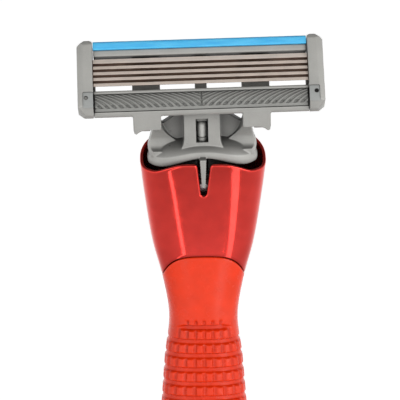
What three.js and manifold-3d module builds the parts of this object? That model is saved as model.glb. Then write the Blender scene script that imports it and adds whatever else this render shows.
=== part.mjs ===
// A cartridge razor standing on its handle, millimetres, +Z up, blades facing -Y.
// The origin is on the handle's centreline where the hand holds it. The handle bows backwards
// (+Y) in the middle, and its top leans forwards, so the head has a tilted frame of its own.
import * as THREE from "three";
import { mergeVertices } from "three/addons/utils/BufferGeometryUtils.js";
import Module from "manifold-3d";

const wasm = await Module();
wasm.setup();

// ---- driving dimensions -------------------------------------------------------------------

const GAP = 0.15; // between pieces that touch in the real razor
const DEG = Math.PI / 180;

// Handle. The spine's Y is BOW_SLOPE z - BOW_SIZE (e^(z / BOW_LENGTH) - 1).
const BOW_SLOPE = 0.158;
const BOW_SIZE = 3.156;
const BOW_LENGTH = 28.77;
const MOUTH_Z = 41.5;
const TAIL_Z = -80;
const SQUARENESS = 2.7; // exponent of the superellipse that every section follows
// height, half width, depth to the front, depth to the back
const STATIONS = [
  [TAIL_Z, 5.0, 4.0, 4.2],
  [-62, 6.1, 4.8, 5.0],
  [-36, 7.2, 5.6, 5.9],
  [-8, 7.7, 5.9, 6.2],
  [6.5, 6.8, 5.5, 5.6],
  [13.7, 5.95, 5.2, 5.2],
  [20, 6.85, 5.2, 5.3],
  [27.4, 8.75, 5.3, 5.5],
  [35, 9.95, 5.4, 5.6],
  [MOUTH_Z, 10.7, 5.4, 5.6],
  [MOUTH_Z + 5, 10.9, 5.4, 5.6],
];
const SHELL_WALL = 0.6;
const RIM_CREST = 1.8; // the rim's rise beside the slot
const RIM_BACK = 3.0; // the rim's rise behind the head
const SLOT_TOP = 1.1; // half widths of the slot in front
const SLOT_END = 0.56;
const SLOT_DEPTH = -3.6; // where the slot's round end is centred
const ARCH_Z = 25.6; // crown of the seam between shell and grip, in front
const ARCH_DROP = 4.2; // how far that seam falls towards the sides
const GRIP_FOOT_Z = -44;
const FOOT_RISE = 5; // the lower seam's rise in front and behind
const RIB_TOP_Z = 13;
const RIB_PITCH = 2.5;
const RIB_ROWS = 9;
const RIB_GROOVE = 0.95; // width of a groove
const RIB_DEPTH = 0.5;
const GRIP_WALL = 1.5;
const CORE_INSET = GRIP_WALL + 0.4;
const CAP_Z = TAIL_Z + 5; // where the soft tail cap begins
const SPIGOT = 4; // how far the tail cap reaches into the tail shell

// Head frame: origin at the centre of the mouth, +Z along the head, -Y to its front.
const HEAD_LEAN = Math.atan((BOW_SIZE / BOW_LENGTH) * Math.exp(MOUTH_Z / BOW_LENGTH) - BOW_SLOPE);
const ROLL_Z = -3.4; // the roll pin
const REST_ROLL = 1.4 * DEG; // the head is stored rocked this far to its left
const PIN_R = 0.8;
const CAP_HALF = 9.35; // the cap that closes the mouth
const CAP_SQUARENESS = 2.6;
const CAP_FRONT = 4.25;
const CAP_BACK = 4.4;
const CAP_SKIRT = -1.6; // foot of the narrow skirt under the cap
const CAP_LOW = [2.25, 0.5]; // the cap's lower edge, at the middle and at the ends
const CAP_HIGH = [3.15, 1.8]; // its upper edge
const CAP_CROWN = 4.9;
const POST_HALF = 3.05;
const POST_FRONT = 3.1;
const POST_BACK = 0.3;
const POST_TOP = 10.3;
const POST_FLARE = { base: 3.2, bend: 0.6, rise: 2.8, spread: 1 };
const GABLE = { half: 0.7, foot: 2.5, edge: 7.3, slope: 0.68 };
const WINDOW_HALF = 1.03;
const WINDOW_Z = [4.8, 9.2];
const HORN_X = [6.85, 8.3];
const HORN_R = 1.25;
const HORN_BASE = { front: -2.3, back: 0.6, foot: 2, reach: 2.4, top: 9.2, low: 4.6 };
const HORN_FLARE = [9.3, 4.2]; // where the horn's outer side meets the cap, X and Z
const TRUNNION_R = 0.8;
const PLUNGER_Y = -1.6;
const PLUNGER_R = 0.83;
const PLUNGER_TIP = 8.17;
const PLUNGER_BASE = 3.4;
const PLUNGER_NECK = { low: 5.3, high: 5.56, radius: 0.6, slant: 0.05 };
const SEAT_Z = -1.0;
const CAM_WAY = { half: 1.25, low: 6.2, sill: 7.7, sillFront: -0.15 };
const TAIL = { top: 2.2, foot: -2.65, shoulder: -2.3, front: -5.45, half: [0.57, 0.32, 0.16] };
const STEM = { half: 2.5, deep: 2.95, low: -6.2, high: -1.2 };

// Cartridge frame: origin on its pivot, +Z up the shaving face, -Y out of it.
const PIVOT = [0, -3.3, 9.2];
const FACE_LEAN = 45 * DEG;
const HALF_LENGTH = 20.5;
const OPEN_HALF = 17.9; // half length of the blade opening
const FACE = -4.91; // the shaving plane
const BACK = -1.1; // the frame's back
const WEB = -2.5; // front of the ribs that stand behind the opening
const TOP = 12.82;
const BOTTOM = -0.14;
const LIP = [9.95, 11.05];
const GUARD_TOP = 3.99;
const BLADE_PITCH = 1.01;
const FIRST_EDGE = 4.61; // cutting edge nearest the guard
const BLADES = 5;
const BLADE_WIDTH = 0.66;
const TOP_BLADE_WIDTH = 0.95;
const BLADE_THICK = 0.12;
const BLADE_ANGLE = 24 * DEG;
const EAR_X = [6.8, 11.45];
const EAR_PLATE = { back: -1.45, front: -2.4, top: 2.3, edge: -0.6, hook: 0.8 };
const RIB_FOOT = 1.2; // where the ribs behind the opening start
const TENON = { front: WEB + 0.3, back: BACK - 0.2, low: 1.3, high: LIP[0] + 0.3, reach: 1.4 };
const BED = [BOTTOM + 0.85, GUARD_TOP - 0.7]; // where the soft guard lies
const FIN_PITCH = 1.15;
const FIN_SLANT = 32 * DEG;

// ---- solids -------------------------------------------------------------------------------

function solidOf(geometry, matrix) {
  const plain = geometry.clone();
  if (matrix) plain.applyMatrix4(matrix);
  plain.deleteAttribute("normal");
  plain.deleteAttribute("uv");
  const merged = mergeVertices(plain, 1e-4);
  return new wasm.Manifold(
    new wasm.Mesh({
      numProp: 3,
      vertProperties: new Float32Array(merged.attributes.position.array),
      triVerts: new Uint32Array(merged.index.array),
    }),
  );
}

function geometryOf(solid) {
  const mesh = solid.getMesh();
  const geometry = new THREE.BufferGeometry();
  geometry.setAttribute("position", new THREE.BufferAttribute(mesh.vertProperties, 3));
  geometry.setIndex(new THREE.BufferAttribute(mesh.triVerts, 1));
  const faceted = geometry.toNonIndexed();
  faceted.computeVertexNormals();
  return faceted;
}

function join(solids) {
  return solids.reduce((all, next) => all.add(next));
}

function cut(solid, tools) {
  return tools.reduce((left, tool) => left.subtract(tool), solid);
}

function box(x0, x1, y0, y1, z0, z1) {
  const geometry = new THREE.BoxGeometry(x1 - x0, y1 - y0, z1 - z0);
  const centre = [(x0 + x1) / 2, (y0 + y1) / 2, (z0 + z1) / 2];
  return solidOf(geometry, new THREE.Matrix4().makeTranslation(...centre));
}

function extrude(outline, depth, basis) {
  const shape = outline instanceof THREE.Shape ? outline : new THREE.Shape(toPoints(outline));
  const geometry = new THREE.ExtrudeGeometry(shape, { depth, bevelEnabled: false, curveSegments: 8 });
  return solidOf(geometry, basis);
}

function toPoints(outline) {
  const points = outline.map(([a, b]) => new THREE.Vector2(a, b));
  return THREE.ShapeUtils.area(points) < 0 ? points.reverse() : points;
}

// An outline in Y and Z, swept from x0 to x1.
function alongX(outline, x0, x1) {
  const basis = new THREE.Matrix4().set(0, 0, 1, x0, 1, 0, 0, 0, 0, 1, 0, 0, 0, 0, 0, 1);
  return extrude(outline, x1 - x0, basis);
}

// An outline in X and Z, swept from y0 to y1.
function alongY(outline, y0, y1) {
  const basis = new THREE.Matrix4().set(1, 0, 0, 0, 0, 0, -1, y1, 0, 1, 0, 0, 0, 0, 0, 1);
  return extrude(outline, y1 - y0, basis);
}

const UPRIGHT = new THREE.Matrix4().makeRotationX(FACE_LEAN);

const AXIS_TURN = {
  x: new THREE.Matrix4().makeRotationZ(-Math.PI / 2),
  y: new THREE.Matrix4(),
  z: new THREE.Matrix4().makeRotationX(Math.PI / 2),
};

// A cylinder from one end to the other along an axis, through the point (a, b) of the other two.
function rod(axis, radius, from, to, a, b, sides = 20) {
  const middle = (from + to) / 2;
  const centre = { x: [middle, a, b], y: [a, middle, b], z: [a, b, middle] }[axis];
  const geometry = new THREE.CylinderGeometry(radius, radius, to - from, sides);
  const matrix = new THREE.Matrix4().makeTranslation(...centre).multiply(AXIS_TURN[axis]);
  return solidOf(geometry, matrix);
}

// A closed profile of [layer, level] points turned round an axis, each point then placed by
// place(layer, level, angle). The angle is 0 at the front and grows towards +X.
function wrap(profile, segments, place) {
  const points = profile.map(([layer, level]) => new THREE.Vector2(layer, level));
  const geometry = new THREE.LatheGeometry(points, segments);
  const position = geometry.attributes.position;
  for (let i = 0; i < position.count; i++) {
    const x = position.getX(i);
    const z = position.getZ(i);
    const [px, py, pz] = place(Math.hypot(x, z), position.getY(i), Math.atan2(x, z));
    position.setXYZ(i, px, py, pz);
  }
  const solid = solidOf(geometry);
  if (solid.volume() > 0) return solid;
  return wrap([...profile].reverse(), segments, place);
}

// The span from a to b on the right side, or its mirror image on the left.
function mirroredSpan(side, a, b) {
  return side > 0 ? [a, b] : [-b, -a];
}

function signedPower(value, power) {
  return Math.sign(value) * Math.abs(value) ** power;
}

function smooth(low, high, value) {
  const t = Math.min(1, Math.max(0, (value - low) / (high - low)));
  return t * t * (3 - 2 * t);
}

// ---- handle surface -----------------------------------------------------------------------

function spineY(z) {
  return BOW_SLOPE * z - BOW_SIZE * (Math.exp(z / BOW_LENGTH) - 1);
}

function spineLean(z) {
  return Math.atan((BOW_SIZE / BOW_LENGTH) * Math.exp(z / BOW_LENGTH) - BOW_SLOPE);
}

// Half width, front depth and back depth at a height, by cubics through the stations.
function sectionAt(z) {
  const last = STATIONS.length - 1;
  let i = 0;
  while (i < last - 1 && z > STATIONS[i + 1][0]) i++;
  const [a, b] = [STATIONS[i], STATIONS[i + 1]];
  const before = STATIONS[Math.max(0, i - 1)];
  const after = STATIONS[Math.min(last, i + 2)];
  const span = b[0] - a[0];
  const t = Math.min(1, Math.max(0, (z - a[0]) / span));
  return [1, 2, 3].map((k) => {
    const slopeA = ((b[k] - before[k]) / (b[0] - before[0])) * span;
    const slopeB = ((after[k] - a[k]) / (after[0] - a[0])) * span;
    const [t2, t3] = [t * t, t * t * t];
    return (
      (2 * t3 - 3 * t2 + 1) * a[k] +
      (t3 - 2 * t2 + t) * slopeA +
      (3 * t2 - 2 * t3) * b[k] +
      (t3 - t2) * slopeB
    );
  });
}

// A point of the handle's surface, sunk inwards by inset, or on its centreline if inset is Infinity.
function onHandle(z, angle, inset) {
  const lean = spineLean(z);
  const [half, front, back] = sectionAt(z);
  const depth = Math.cos(angle) > 0 ? front : back;
  const inside = inset === Infinity;
  const x = inside ? 0 : (half - inset) * signedPower(Math.sin(angle), 2 / SQUARENESS);
  const forward = inside ? 0 : (depth - inset) * signedPower(Math.cos(angle), 2 / SQUARENESS);
  return [x, spineY(z) - forward * Math.cos(lean), z - forward * Math.sin(lean)];
}

function rimRise(angle) {
  const turn = Math.abs(angle) / DEG;
  return RIM_CREST * (1 - smooth(8, 50, turn)) + RIM_BACK * smooth(65, 150, turn);
}

function archZ(angle) {
  return ARCH_Z - ARCH_DROP * Math.abs(Math.sin(angle)) ** 2.4;
}

function footZ(angle) {
  return GRIP_FOOT_Z + FOOT_RISE * Math.cos(angle) ** 2;
}

// Levels from 0 to 1, as a profile goes up its outer wall (2) and down its inner wall (1).
function wallProfile(outside, inside = outside) {
  const up = outside.map((v) => [2, v]);
  const down = [...inside].reverse().map((v) => [1, v]);
  return [...up, ...down, up[0]];
}

function evenLevels(count) {
  return Array.from({ length: count + 1 }, (_, i) => i / count);
}

// A sleeve of the handle between two seams. Layer 2 is its outside and layer 1 its inside.
function sleeve(levels, segments, lower, upper, wall) {
  return wrap(wallProfile(levels), segments, (layer, level, angle) => {
    const z = lower(angle) + (upper(angle) - lower(angle)) * level;
    return onHandle(z, angle, layer > 1.5 ? 0 : wall);
  });
}

// A solid of the handle between two heights, sunk by inset.
function plug(count, segments, lower, upper, inset, round = 0) {
  const ring = evenLevels(count).map((v) => [1, v]);
  return wrap([[0, 0], ...ring, [0, 1]], segments, (layer, level, angle) => {
    const z = lower + (upper - lower) * level;
    const blunt = level === 0 ? round : 0;
    return onHandle(z, angle, layer < 0.5 ? Infinity : inset + blunt);
  });
}

// ---- handle pieces ------------------------------------------------------------------------

// What the shell is cut by in the head frame, moved to the part's frame.
const HEAD = new THREE.Matrix4()
  .makeTranslation(0, spineY(MOUTH_Z), MOUTH_Z)
  .multiply(new THREE.Matrix4().makeRotationX(HEAD_LEAN));

function inHead(solid) {
  return solid.transform(HEAD.elements);
}

function slotOutline() {
  const shape = new THREE.Shape();
  const shoulder = RIM_CREST - 0.3;
  const above = RIM_CREST + 1;
  shape.moveTo(-SLOT_END, SLOT_DEPTH);
  shape.absarc(0, SLOT_DEPTH, SLOT_END, Math.PI, 2 * Math.PI, false);
  shape.lineTo(SLOT_TOP, shoulder);
  shape.lineTo(SLOT_TOP, above);
  shape.lineTo(-SLOT_TOP, above);
  shape.lineTo(-SLOT_TOP, shoulder);
  return shape;
}

// The release slides along the back of the shell, in a frame of its own on the spine.
const EJECT_Z = 31;
const THROUGH = 9; // far enough to cut right through the shell's wall
const TRACK = { half: 2.6, low: -3.8, high: 2.9, floor: 3 };
const BUTTON = { half: 2.45, low: -3.4, high: -0.2, back: 2.6, proud: 0.9, chamfer: 0.5 };
const RIDGES = { half: 1.7, radius: 0.28, heights: [0.7, 1.4, 2.1] };
const EJECT_COIL = { radius: 0.7, wire: 0.13, turns: 4, depth: 3.4, play: 0.1 };
const PLUNGER_COIL = { radius: 0.55, wire: 0.14, turns: 6, play: 0.05 };
const EJECT = new THREE.Matrix4()
  .makeTranslation(0, spineY(EJECT_Z), EJECT_Z)
  .multiply(new THREE.Matrix4().makeRotationX(spineLean(EJECT_Z)));

function inEject(solid) {
  return solid.transform(EJECT.elements);
}

function headShell() {
  const top = (angle) => MOUTH_Z + rimRise(angle) * Math.cos(HEAD_LEAN);
  const shell = sleeve(evenLevels(9), 64, (a) => archZ(a) + GAP, top, SHELL_WALL);
  const slot = inHead(alongY(slotOutline(), -THROUGH, -TRACK.floor));
  const track = inEject(box(-TRACK.half, TRACK.half, TRACK.floor, THROUGH, TRACK.low, TRACK.high));
  return cut(shell, [slot, track]);
}

function ribGroove(z) {
  const below = (RIB_TOP_Z - z) / RIB_PITCH;
  if (below < 0 || below > RIB_ROWS) return 0;
  const phase = below - Math.round(below);
  return Math.abs(phase) * RIB_PITCH < RIB_GROOVE / 2 ? RIB_DEPTH : 0;
}

// Each groove has four levels: two at its lips and two on its floor.
function gripLevels() {
  const heights = [0];
  const [low, high] = [GRIP_FOOT_Z, ARCH_Z];
  const lip = RIB_GROOVE / 2 + 0.01;
  const floor = RIB_GROOVE / 2 - 0.16;
  for (let row = RIB_ROWS; row >= 0; row--) {
    const middle = RIB_TOP_Z - row * RIB_PITCH;
    for (const z of [middle - lip, middle - floor, middle + floor, middle + lip]) {
      heights.push((z - low) / (high - low));
    }
  }
  const above = [1 / 3, 2 / 3, 1].map((t) => RIB_TOP_Z + 1 + t * (high - RIB_TOP_Z - 1));
  const under = [1 / 4, 1 / 2, 3 / 4].map((t) => t * heights[1]);
  return [0, ...under, ...heights.slice(1), ...above.map((z) => (z - low) / (high - low))];
}

// Between the seams a level keeps its height, so the ribs run level, and only the two ends bend.
function gripSleeve() {
  const levels = gripLevels();
  const [low, high] = [GRIP_FOOT_Z, ARCH_Z];
  return wrap(wallProfile(levels, evenLevels(14)), 40, (layer, level, angle) => {
    const flat = low + (high - low) * level;
    const nearTop = smooth(RIB_TOP_Z + 1, high, flat);
    const nearFoot = smooth(RIB_TOP_Z - (RIB_ROWS + 1) * RIB_PITCH, low, flat);
    const z = flat + nearTop * (archZ(angle) - high) + nearFoot * (footZ(angle) - low);
    return onHandle(z, angle, layer > 1.5 ? ribGroove(flat) : GRIP_WALL);
  });
}

function tailShell() {
  return sleeve(evenLevels(8), 48, () => CAP_Z + GAP, (a) => footZ(a) - GAP, GRIP_WALL);
}

function tailCap() {
  const flange = plug(3, 48, TAIL_Z, CAP_Z, 0, 0.5);
  const spigot = plug(1, 32, CAP_Z - 0.2, CAP_Z + SPIGOT, CORE_INSET);
  return join([flange, spigot]);
}

// The stiff core fills the handle up to the carrier's forked top, which holds the roll pin.
const CORE_TOP = -7.4; // head frame
const FORK = { half: 2.6, inside: 3.1, outside: 3.8, top: -1.9 };
const LEAF = { half: 0.2, wide: 1.5, foot: -12, top: -5.6, room: 0.1 };
const WEIGHT = { half: 2.5, low: -66, high: -30, room: 0.2 };
const BUTTON_BAY = 2.2; // floor of the bay behind the button
const WIDE = 20; // wider than the handle anywhere

function core() {
  const body = plug(26, 32, CAP_Z + SPIGOT + 0.6, MOUTH_Z - 6, CORE_INSET);
  const above = inHead(box(-WIDE, WIDE, -WIDE, WIDE, CORE_TOP, WIDE));
  const fork = [-1, 1].map((side) => {
    const span = mirroredSpan(side, FORK.inside, FORK.outside);
    return inHead(box(-FORK.half, FORK.half, ...span, CORE_TOP - 1, FORK.top));
  });
  const pinHole = inHead(rod("y", PIN_R + 0.05, -THROUGH, THROUGH, 0, ROLL_Z));
  const [thin, wide] = [LEAF.half + LEAF.room, LEAF.wide + LEAF.room];
  const leafHole = inHead(box(-thin, thin, -wide, wide, LEAF.foot - LEAF.room, 0));
  const bayLow = TRACK.low - 0.2;
  const buttonBay = inEject(box(-TRACK.half, TRACK.half, BUTTON_BAY, THROUGH, bayLow, TRACK.high));
  const [bay, play] = [WEIGHT.half + WEIGHT.room, WEIGHT.room + 0.1];
  const weightBay = box(-bay, bay, -WIDE, WIDE, WEIGHT.low - play, WEIGHT.high + play);
  return cut(join([body.subtract(above), ...fork]), [pinHole, leafHole, buttonBay, weightBay]);
}

function balanceWeight() {
  const { half, low, high } = WEIGHT;
  return box(-half, half, -WIDE, WIDE, low, high).intersect(plug(8, 24, low, high, CORE_INSET));
}

function rollPin() {
  return rod("y", PIN_R, -FORK.outside + 0.1, FORK.outside - 0.1, 0, ROLL_Z);
}

function centringLeaf() {
  return box(-LEAF.half, LEAF.half, -LEAF.wide, LEAF.wide, LEAF.foot, LEAF.top);
}

// ---- eject button -------------------------------------------------------------------------

function ejectButton() {
  const { low, high, back, chamfer } = BUTTON;
  const face = sectionAt(EJECT_Z)[2] + BUTTON.proud;
  const front = [[face - chamfer, low], [face, low + chamfer], [face, high - chamfer], [face - chamfer, high]];
  const half = BUTTON.half - GAP;
  const pad = alongX([[back, low], ...front, [back, high]], -half, half);
  const ridge = (up) => rod("x", RIDGES.radius, -RIDGES.half, RIDGES.half, face, low + up, 8);
  return join([pad, ...RIDGES.heights.map(ridge)]);
}

// A flat tongue from the button up to two prongs, which pass the fork on either side. Each prong
// steps inwards, away from the shell, above the bar that carries it.
const PUSHER = {
  half: 2, outside: 4.4, prong: 1, yoke: 4.3, bar: 0.8, reach: 2.4,
  back: 4.5, front: 4.2, foot: 3.5, step: [3.0, 4.0],
};

function ejectPusher() {
  const { half, outside, yoke, bar, back, front } = PUSHER;
  const tongue = box(-half, half, front, back, BUTTON.high + GAP, yoke + 0.1);
  const across = box(-outside, outside, front, back, yoke, yoke + bar);
  const prongs = [-1, 1].map((side) => {
    const span = mirroredSpan(side, outside - PUSHER.prong, outside);
    const foot = box(...span, PUSHER.foot, back, yoke, yoke + bar);
    return foot.add(box(...span, ...PUSHER.step, yoke, yoke + PUSHER.reach));
  });
  return join([tongue, across, ...prongs]);
}

function ejectSpring() {
  const length = TRACK.high - BUTTON.high - 2 * EJECT_COIL.play;
  return coil(EJECT_COIL, length);
}

function coil({ radius, wire, turns }, length, segments = 10) {
  const points = Array.from({ length: turns * segments + 1 }, (_, i) => {
    const angle = (i / segments) * 2 * Math.PI;
    return new THREE.Vector3(
      radius * Math.cos(angle),
      radius * Math.sin(angle),
      wire + (length - 2 * wire) * (i / (turns * segments)),
    );
  });
  const path = new THREE.CatmullRomCurve3(points);
  const section = new THREE.Shape().absarc(0, 0, wire, 0, 2 * Math.PI, false);
  const settings = { steps: turns * segments, extrudePath: path, curveSegments: 3 };
  return solidOf(new THREE.ExtrudeGeometry(section, settings));
}

// ---- dock ---------------------------------------------------------------------------------

// Levels of the cap: from 0 at the skirt's foot to 1 at the plate's lower edge, 2 at its upper
// edge and 3 at its crown. Both edges rise towards the middle.
function capHeight(level, x) {
  const fall = smooth(0.06, 0.85, Math.abs(x) / CAP_HALF);
  const [low, high] = [CAP_LOW, CAP_HIGH].map(([middle, end]) => middle + (end - middle) * fall);
  const heights = [CAP_SKIRT, low, high, CAP_CROWN];
  const i = Math.min(2, Math.floor(level));
  return heights[i] + (heights[i + 1] - heights[i]) * (level - i);
}

function cap() {
  const skirt = [[0, 0], [0.6, 0], [0.66, 0.6], [0.93, 0.95]];
  const edge = [[1, 1.15], [1, 1.6]];
  const crown = [0.965, 0.85, 0.7, 0.5, 0.25, 0].map((layer) => [layer, 3 - layer ** 3]);
  return wrap([...skirt, ...edge, ...crown], 40, (layer, level, angle) => {
    const depth = Math.cos(angle) > 0 ? CAP_FRONT : CAP_BACK;
    const side = CAP_HALF * signedPower(Math.sin(angle), 2 / CAP_SQUARENESS);
    const forward = depth * signedPower(Math.cos(angle), 2 / CAP_SQUARENESS);
    return [layer * side, -layer * forward, capHeight(level, side)];
  });
}

function post() {
  const flare = new THREE.Shape();
  const { base, bend, rise, spread } = POST_FLARE;
  flare.moveTo(-POST_HALF - spread, base);
  flare.quadraticCurveTo(-POST_HALF, base + bend, -POST_HALF, base + rise);
  flare.lineTo(-POST_HALF, POST_TOP);
  flare.lineTo(POST_HALF, POST_TOP);
  flare.lineTo(POST_HALF, base + rise);
  flare.quadraticCurveTo(POST_HALF, base + bend, POST_HALF + spread, base);
  flare.closePath();
  return alongY(flare, -POST_FRONT, POST_BACK);
}

function gable(side) {
  const { half, foot, edge, slope } = GABLE;
  const [inner, outer] = [POST_HALF - 0.5, HORN_X[0] + 0.5];
  const top = (x) => edge + (HORN_X[0] - x) * slope;
  const outline = [[inner, foot], [inner, top(inner)], [outer, top(outer)], [outer, foot]];
  return alongY(outline.map(([x, z]) => [side * x, z]), -half, half);
}

// One horn rises from the back of the cap forwards to the pivot: a web with a round tip, filleted
// into the gable on its inner side and flared out to the cap's edge on the other.
function horn(side) {
  const [, pivotY, pivotZ] = PIVOT;
  const [near, far] = HORN_X;
  const { front, back, foot, reach, top, low } = HORN_BASE;
  const tilt = 0.6; // where the back of the web meets its round tip, in radians
  const web = new THREE.Shape();
  web.moveTo(back + 0.8, foot);
  web.lineTo(back, low + 1);
  web.quadraticCurveTo(back - 1, low + 4, pivotY + HORN_R * Math.cos(tilt), pivotZ + HORN_R * Math.sin(tilt));
  web.absarc(pivotY, pivotZ, HORN_R, tilt, Math.PI, false);
  web.lineTo(pivotY - HORN_R, pivotZ - 0.8);
  web.quadraticCurveTo(front - 0.6, low + 2.2, front, low + 0.4);
  web.lineTo(front, foot);
  web.closePath();
  const fillet = new THREE.Shape();
  fillet.moveTo(side * (near + 0.3), top);
  fillet.lineTo(side * near, top);
  fillet.quadraticCurveTo(side * near, low + 1.4, side * (near - reach), low);
  fillet.lineTo(side * (near - reach), foot);
  fillet.lineTo(side * (near + 0.3), foot);
  fillet.closePath();
  const [flareX, flareZ] = HORN_FLARE;
  const flare = new THREE.Shape();
  flare.moveTo(side * (far - 0.3), flareZ + 3.2);
  flare.lineTo(side * far, flareZ + 3.2);
  flare.quadraticCurveTo(side * (far + 0.1), flareZ + 1, side * flareX, flareZ);
  flare.lineTo(side * (flareX - 0.6), foot);
  flare.lineTo(side * (far - 0.3), foot);
  flare.closePath();
  const plate = alongX(web, ...mirroredSpan(side, near, far));
  return join([plate, alongY(fillet, front, back), alongY(flare, front, 0)]);
}

function tail() {
  const { top, foot, shoulder, front } = TAIL;
  const right = [[TAIL.half[0], top], [TAIL.half[1], shoulder], [TAIL.half[2], foot]];
  const left = [...right].reverse().map(([x, z]) => [-x, z]);
  return alongY([...right, ...left], front, -CAP_FRONT + 0.13);
}

function dockBody() {
  const stem = box(-STEM.half, STEM.half, -STEM.deep, STEM.deep, STEM.low, STEM.high);
  const bore = rod("z", PLUNGER_R + 0.1, SEAT_Z - 0.8, POST_TOP + 1, 0, PLUNGER_Y, 24);
  const window = box(-WINDOW_HALF, WINDOW_HALF, -POST_FRONT - 1, PLUNGER_Y, ...WINDOW_Z);
  const pinHole = rod("y", PIN_R + 0.06, -THROUGH, THROUGH, 0, ROLL_Z);
  const [thin, wide] = [LEAF.half + 0.45, LEAF.wide + 0.3];
  const leafSlot = box(-thin, thin, -wide, wide, STEM.low - 0.8, LEAF.top + 0.4);
  const { half, low, sill, sillFront } = CAM_WAY;
  const wayFront = PLUNGER_Y - 0.95;
  const camWay = box(-half, half, wayFront, sillFront, low, POST_TOP + 1);
  const overSill = box(-half, half, wayFront, POST_BACK + 0.7, sill, POST_TOP + 1);
  const body = join([cap(), post(), gable(1), gable(-1), horn(1), horn(-1), tail(), stem]);
  return cut(body, [bore, window, pinHole, leafSlot, camWay, overSill]);
}

function hornPin(side) {
  const ends = mirroredSpan(side, HORN_X[1] + 0.03, EAR_X[1] - 0.35);
  return rod("x", TRUNNION_R, ...ends, PIVOT[1], PIVOT[2]);
}

function springSeat() {
  return rod("z", PLUNGER_R, SEAT_Z - 0.7, SEAT_Z, 0, PLUNGER_Y, 16);
}

// The plunger's profile runs up from its base, past a groove, to a domed tip.
function plunger() {
  const blunt = 0.8; // the dome's height over its radius
  const dome = [0, 1, 2].map((i) => {
    const turn = i * 30 * DEG;
    return [PLUNGER_R * Math.cos(turn), PLUNGER_TIP - PLUNGER_R * (1 - Math.sin(turn)) * blunt];
  });
  const { low, high, radius, slant } = PLUNGER_NECK;
  const neck = [[PLUNGER_R, low], [radius, low + slant], [radius, high - slant], [PLUNGER_R, high]];
  const profile = [[0, PLUNGER_BASE], [PLUNGER_R, PLUNGER_BASE], ...neck, ...dome, [0, PLUNGER_TIP]];
  return wrap(profile, 20, (around, level, angle) => {
    return [around * Math.sin(angle), PLUNGER_Y - around * Math.cos(angle), level];
  });
}

// ---- cartridge ----------------------------------------------------------------------------

// The guard's section, sunk by inset: flat behind, its face curving back to the bottom edge.
function guardSection(inset, half) {
  const front = FACE + inset;
  const shape = new THREE.Shape();
  shape.moveTo(WEB, GUARD_TOP - inset * 0.1);
  shape.lineTo(front + 0.25, GUARD_TOP - inset * 0.1);
  shape.lineTo(front, GUARD_TOP - 0.3);
  shape.lineTo(front, GUARD_TOP - 1.6);
  shape.quadraticCurveTo(front, BOTTOM + 1 + inset * 0.5, FACE + 1.5 + inset * 0.7, BOTTOM + inset * 0.7);
  shape.lineTo(WEB, BOTTOM + inset);
  shape.closePath();
  return alongX(shape, -half, half);
}

// The bar keeps its full section at the two edges that frame the soft guard.
function guardBar(half) {
  const full = guardSection(0.35, half);
  const hollow = box(-half - 1, half + 1, FACE - 1, 0, ...BED);
  return full.subtract(hollow).add(guardSection(1, half));
}

function capBarOutline() {
  const front = FACE + 0.15;
  const floor = FACE + 1;
  const slant = 0.8;
  return [
    [BACK, LIP[0]],
    [front, LIP[0]],
    [front, LIP[1]],
    [floor, LIP[1]],
    [floor, TOP - 0.6],
    [BACK - slant, TOP - 0.15],
    [BACK, TOP - 1.5 * slant],
  ];
}

// The front plate of an ear, with a hooked lower edge that hangs lowest at its outer corner.
function earPlate(side) {
  const [near, far] = EAR_X;
  const { front, back, top, edge, hook } = EAR_PLATE;
  const shape = new THREE.Shape();
  shape.moveTo(side * near, top);
  shape.lineTo(side * near, edge);
  shape.lineTo(side * (near + 2.1), edge);
  shape.quadraticCurveTo(side * (far - 1.3), edge, side * (far - 0.5), edge - hook);
  shape.lineTo(side * (far - 0.1), edge - 0.7 * hook);
  shape.lineTo(side * far, top);
  shape.closePath();
  return alongY(shape, front, back).transform(UPRIGHT.elements);
}

function ear(side) {
  const [near, far] = EAR_X;
  const knuckle = { radius: 1.7, from: -1.9, to: 1.0 };
  const cheek = new THREE.Shape();
  cheek.moveTo(WEB, 3);
  cheek.lineTo(WEB - 0.4, -0.3);
  cheek.lineTo(-1.3, -2.0);
  cheek.lineTo(-0.5, -1.6);
  cheek.absarc(0, 0, knuckle.radius, knuckle.from, knuckle.to, false);
  cheek.lineTo(BACK, 3);
  cheek.closePath();
  const bore = rod("x", TRUNNION_R + 0.1, -far - 1, far + 1, 0, 0);
  const blind = box(...mirroredSpan(side, far - 0.3, far), -1.2, 1.2, -1.2, 1.2);
  const wall = alongX(cheek, ...mirroredSpan(side, HORN_X[1] + 0.35, far)).subtract(bore).add(blind);
  const block = box(...mirroredSpan(side, near, far), WEB, BACK, RIB_FOOT, LIP[0] + 0.1);
  return join([wall, block, earPlate(side)]);
}

// The cam rides on the plunger. Its foot is level with the head while the cartridge is at rest.
function cam() {
  const half = 1;
  const foot = [1.2, 2.9]; // behind the pivot
  const depth = PIVOT[2] - PLUNGER_TIP - 0.08;
  const outline = [[foot[0], -depth], [foot[1], -depth], [foot[1] + 0.5, 2.2], [1.3, 3], [1.0, RIB_FOOT]];
  const rib = box(-half, half, WEB, BACK, RIB_FOOT, LIP[0] + 0.1);
  return join([alongX(outline, -half, half).transform(UPRIGHT.elements), rib]);
}

function housing() {
  const inside = OPEN_HALF - GAP;
  const capBar = alongX(capBarOutline(), -inside, inside);
  const tenons = [-1, 1].map((side) => {
    const span = mirroredSpan(side, inside - 1, OPEN_HALF + TENON.reach);
    return box(...span, TENON.front, TENON.back, TENON.low, TENON.high);
  });
  return join([guardBar(inside), capBar, ...tenons, ear(1), ear(-1), cam()]);
}

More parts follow.
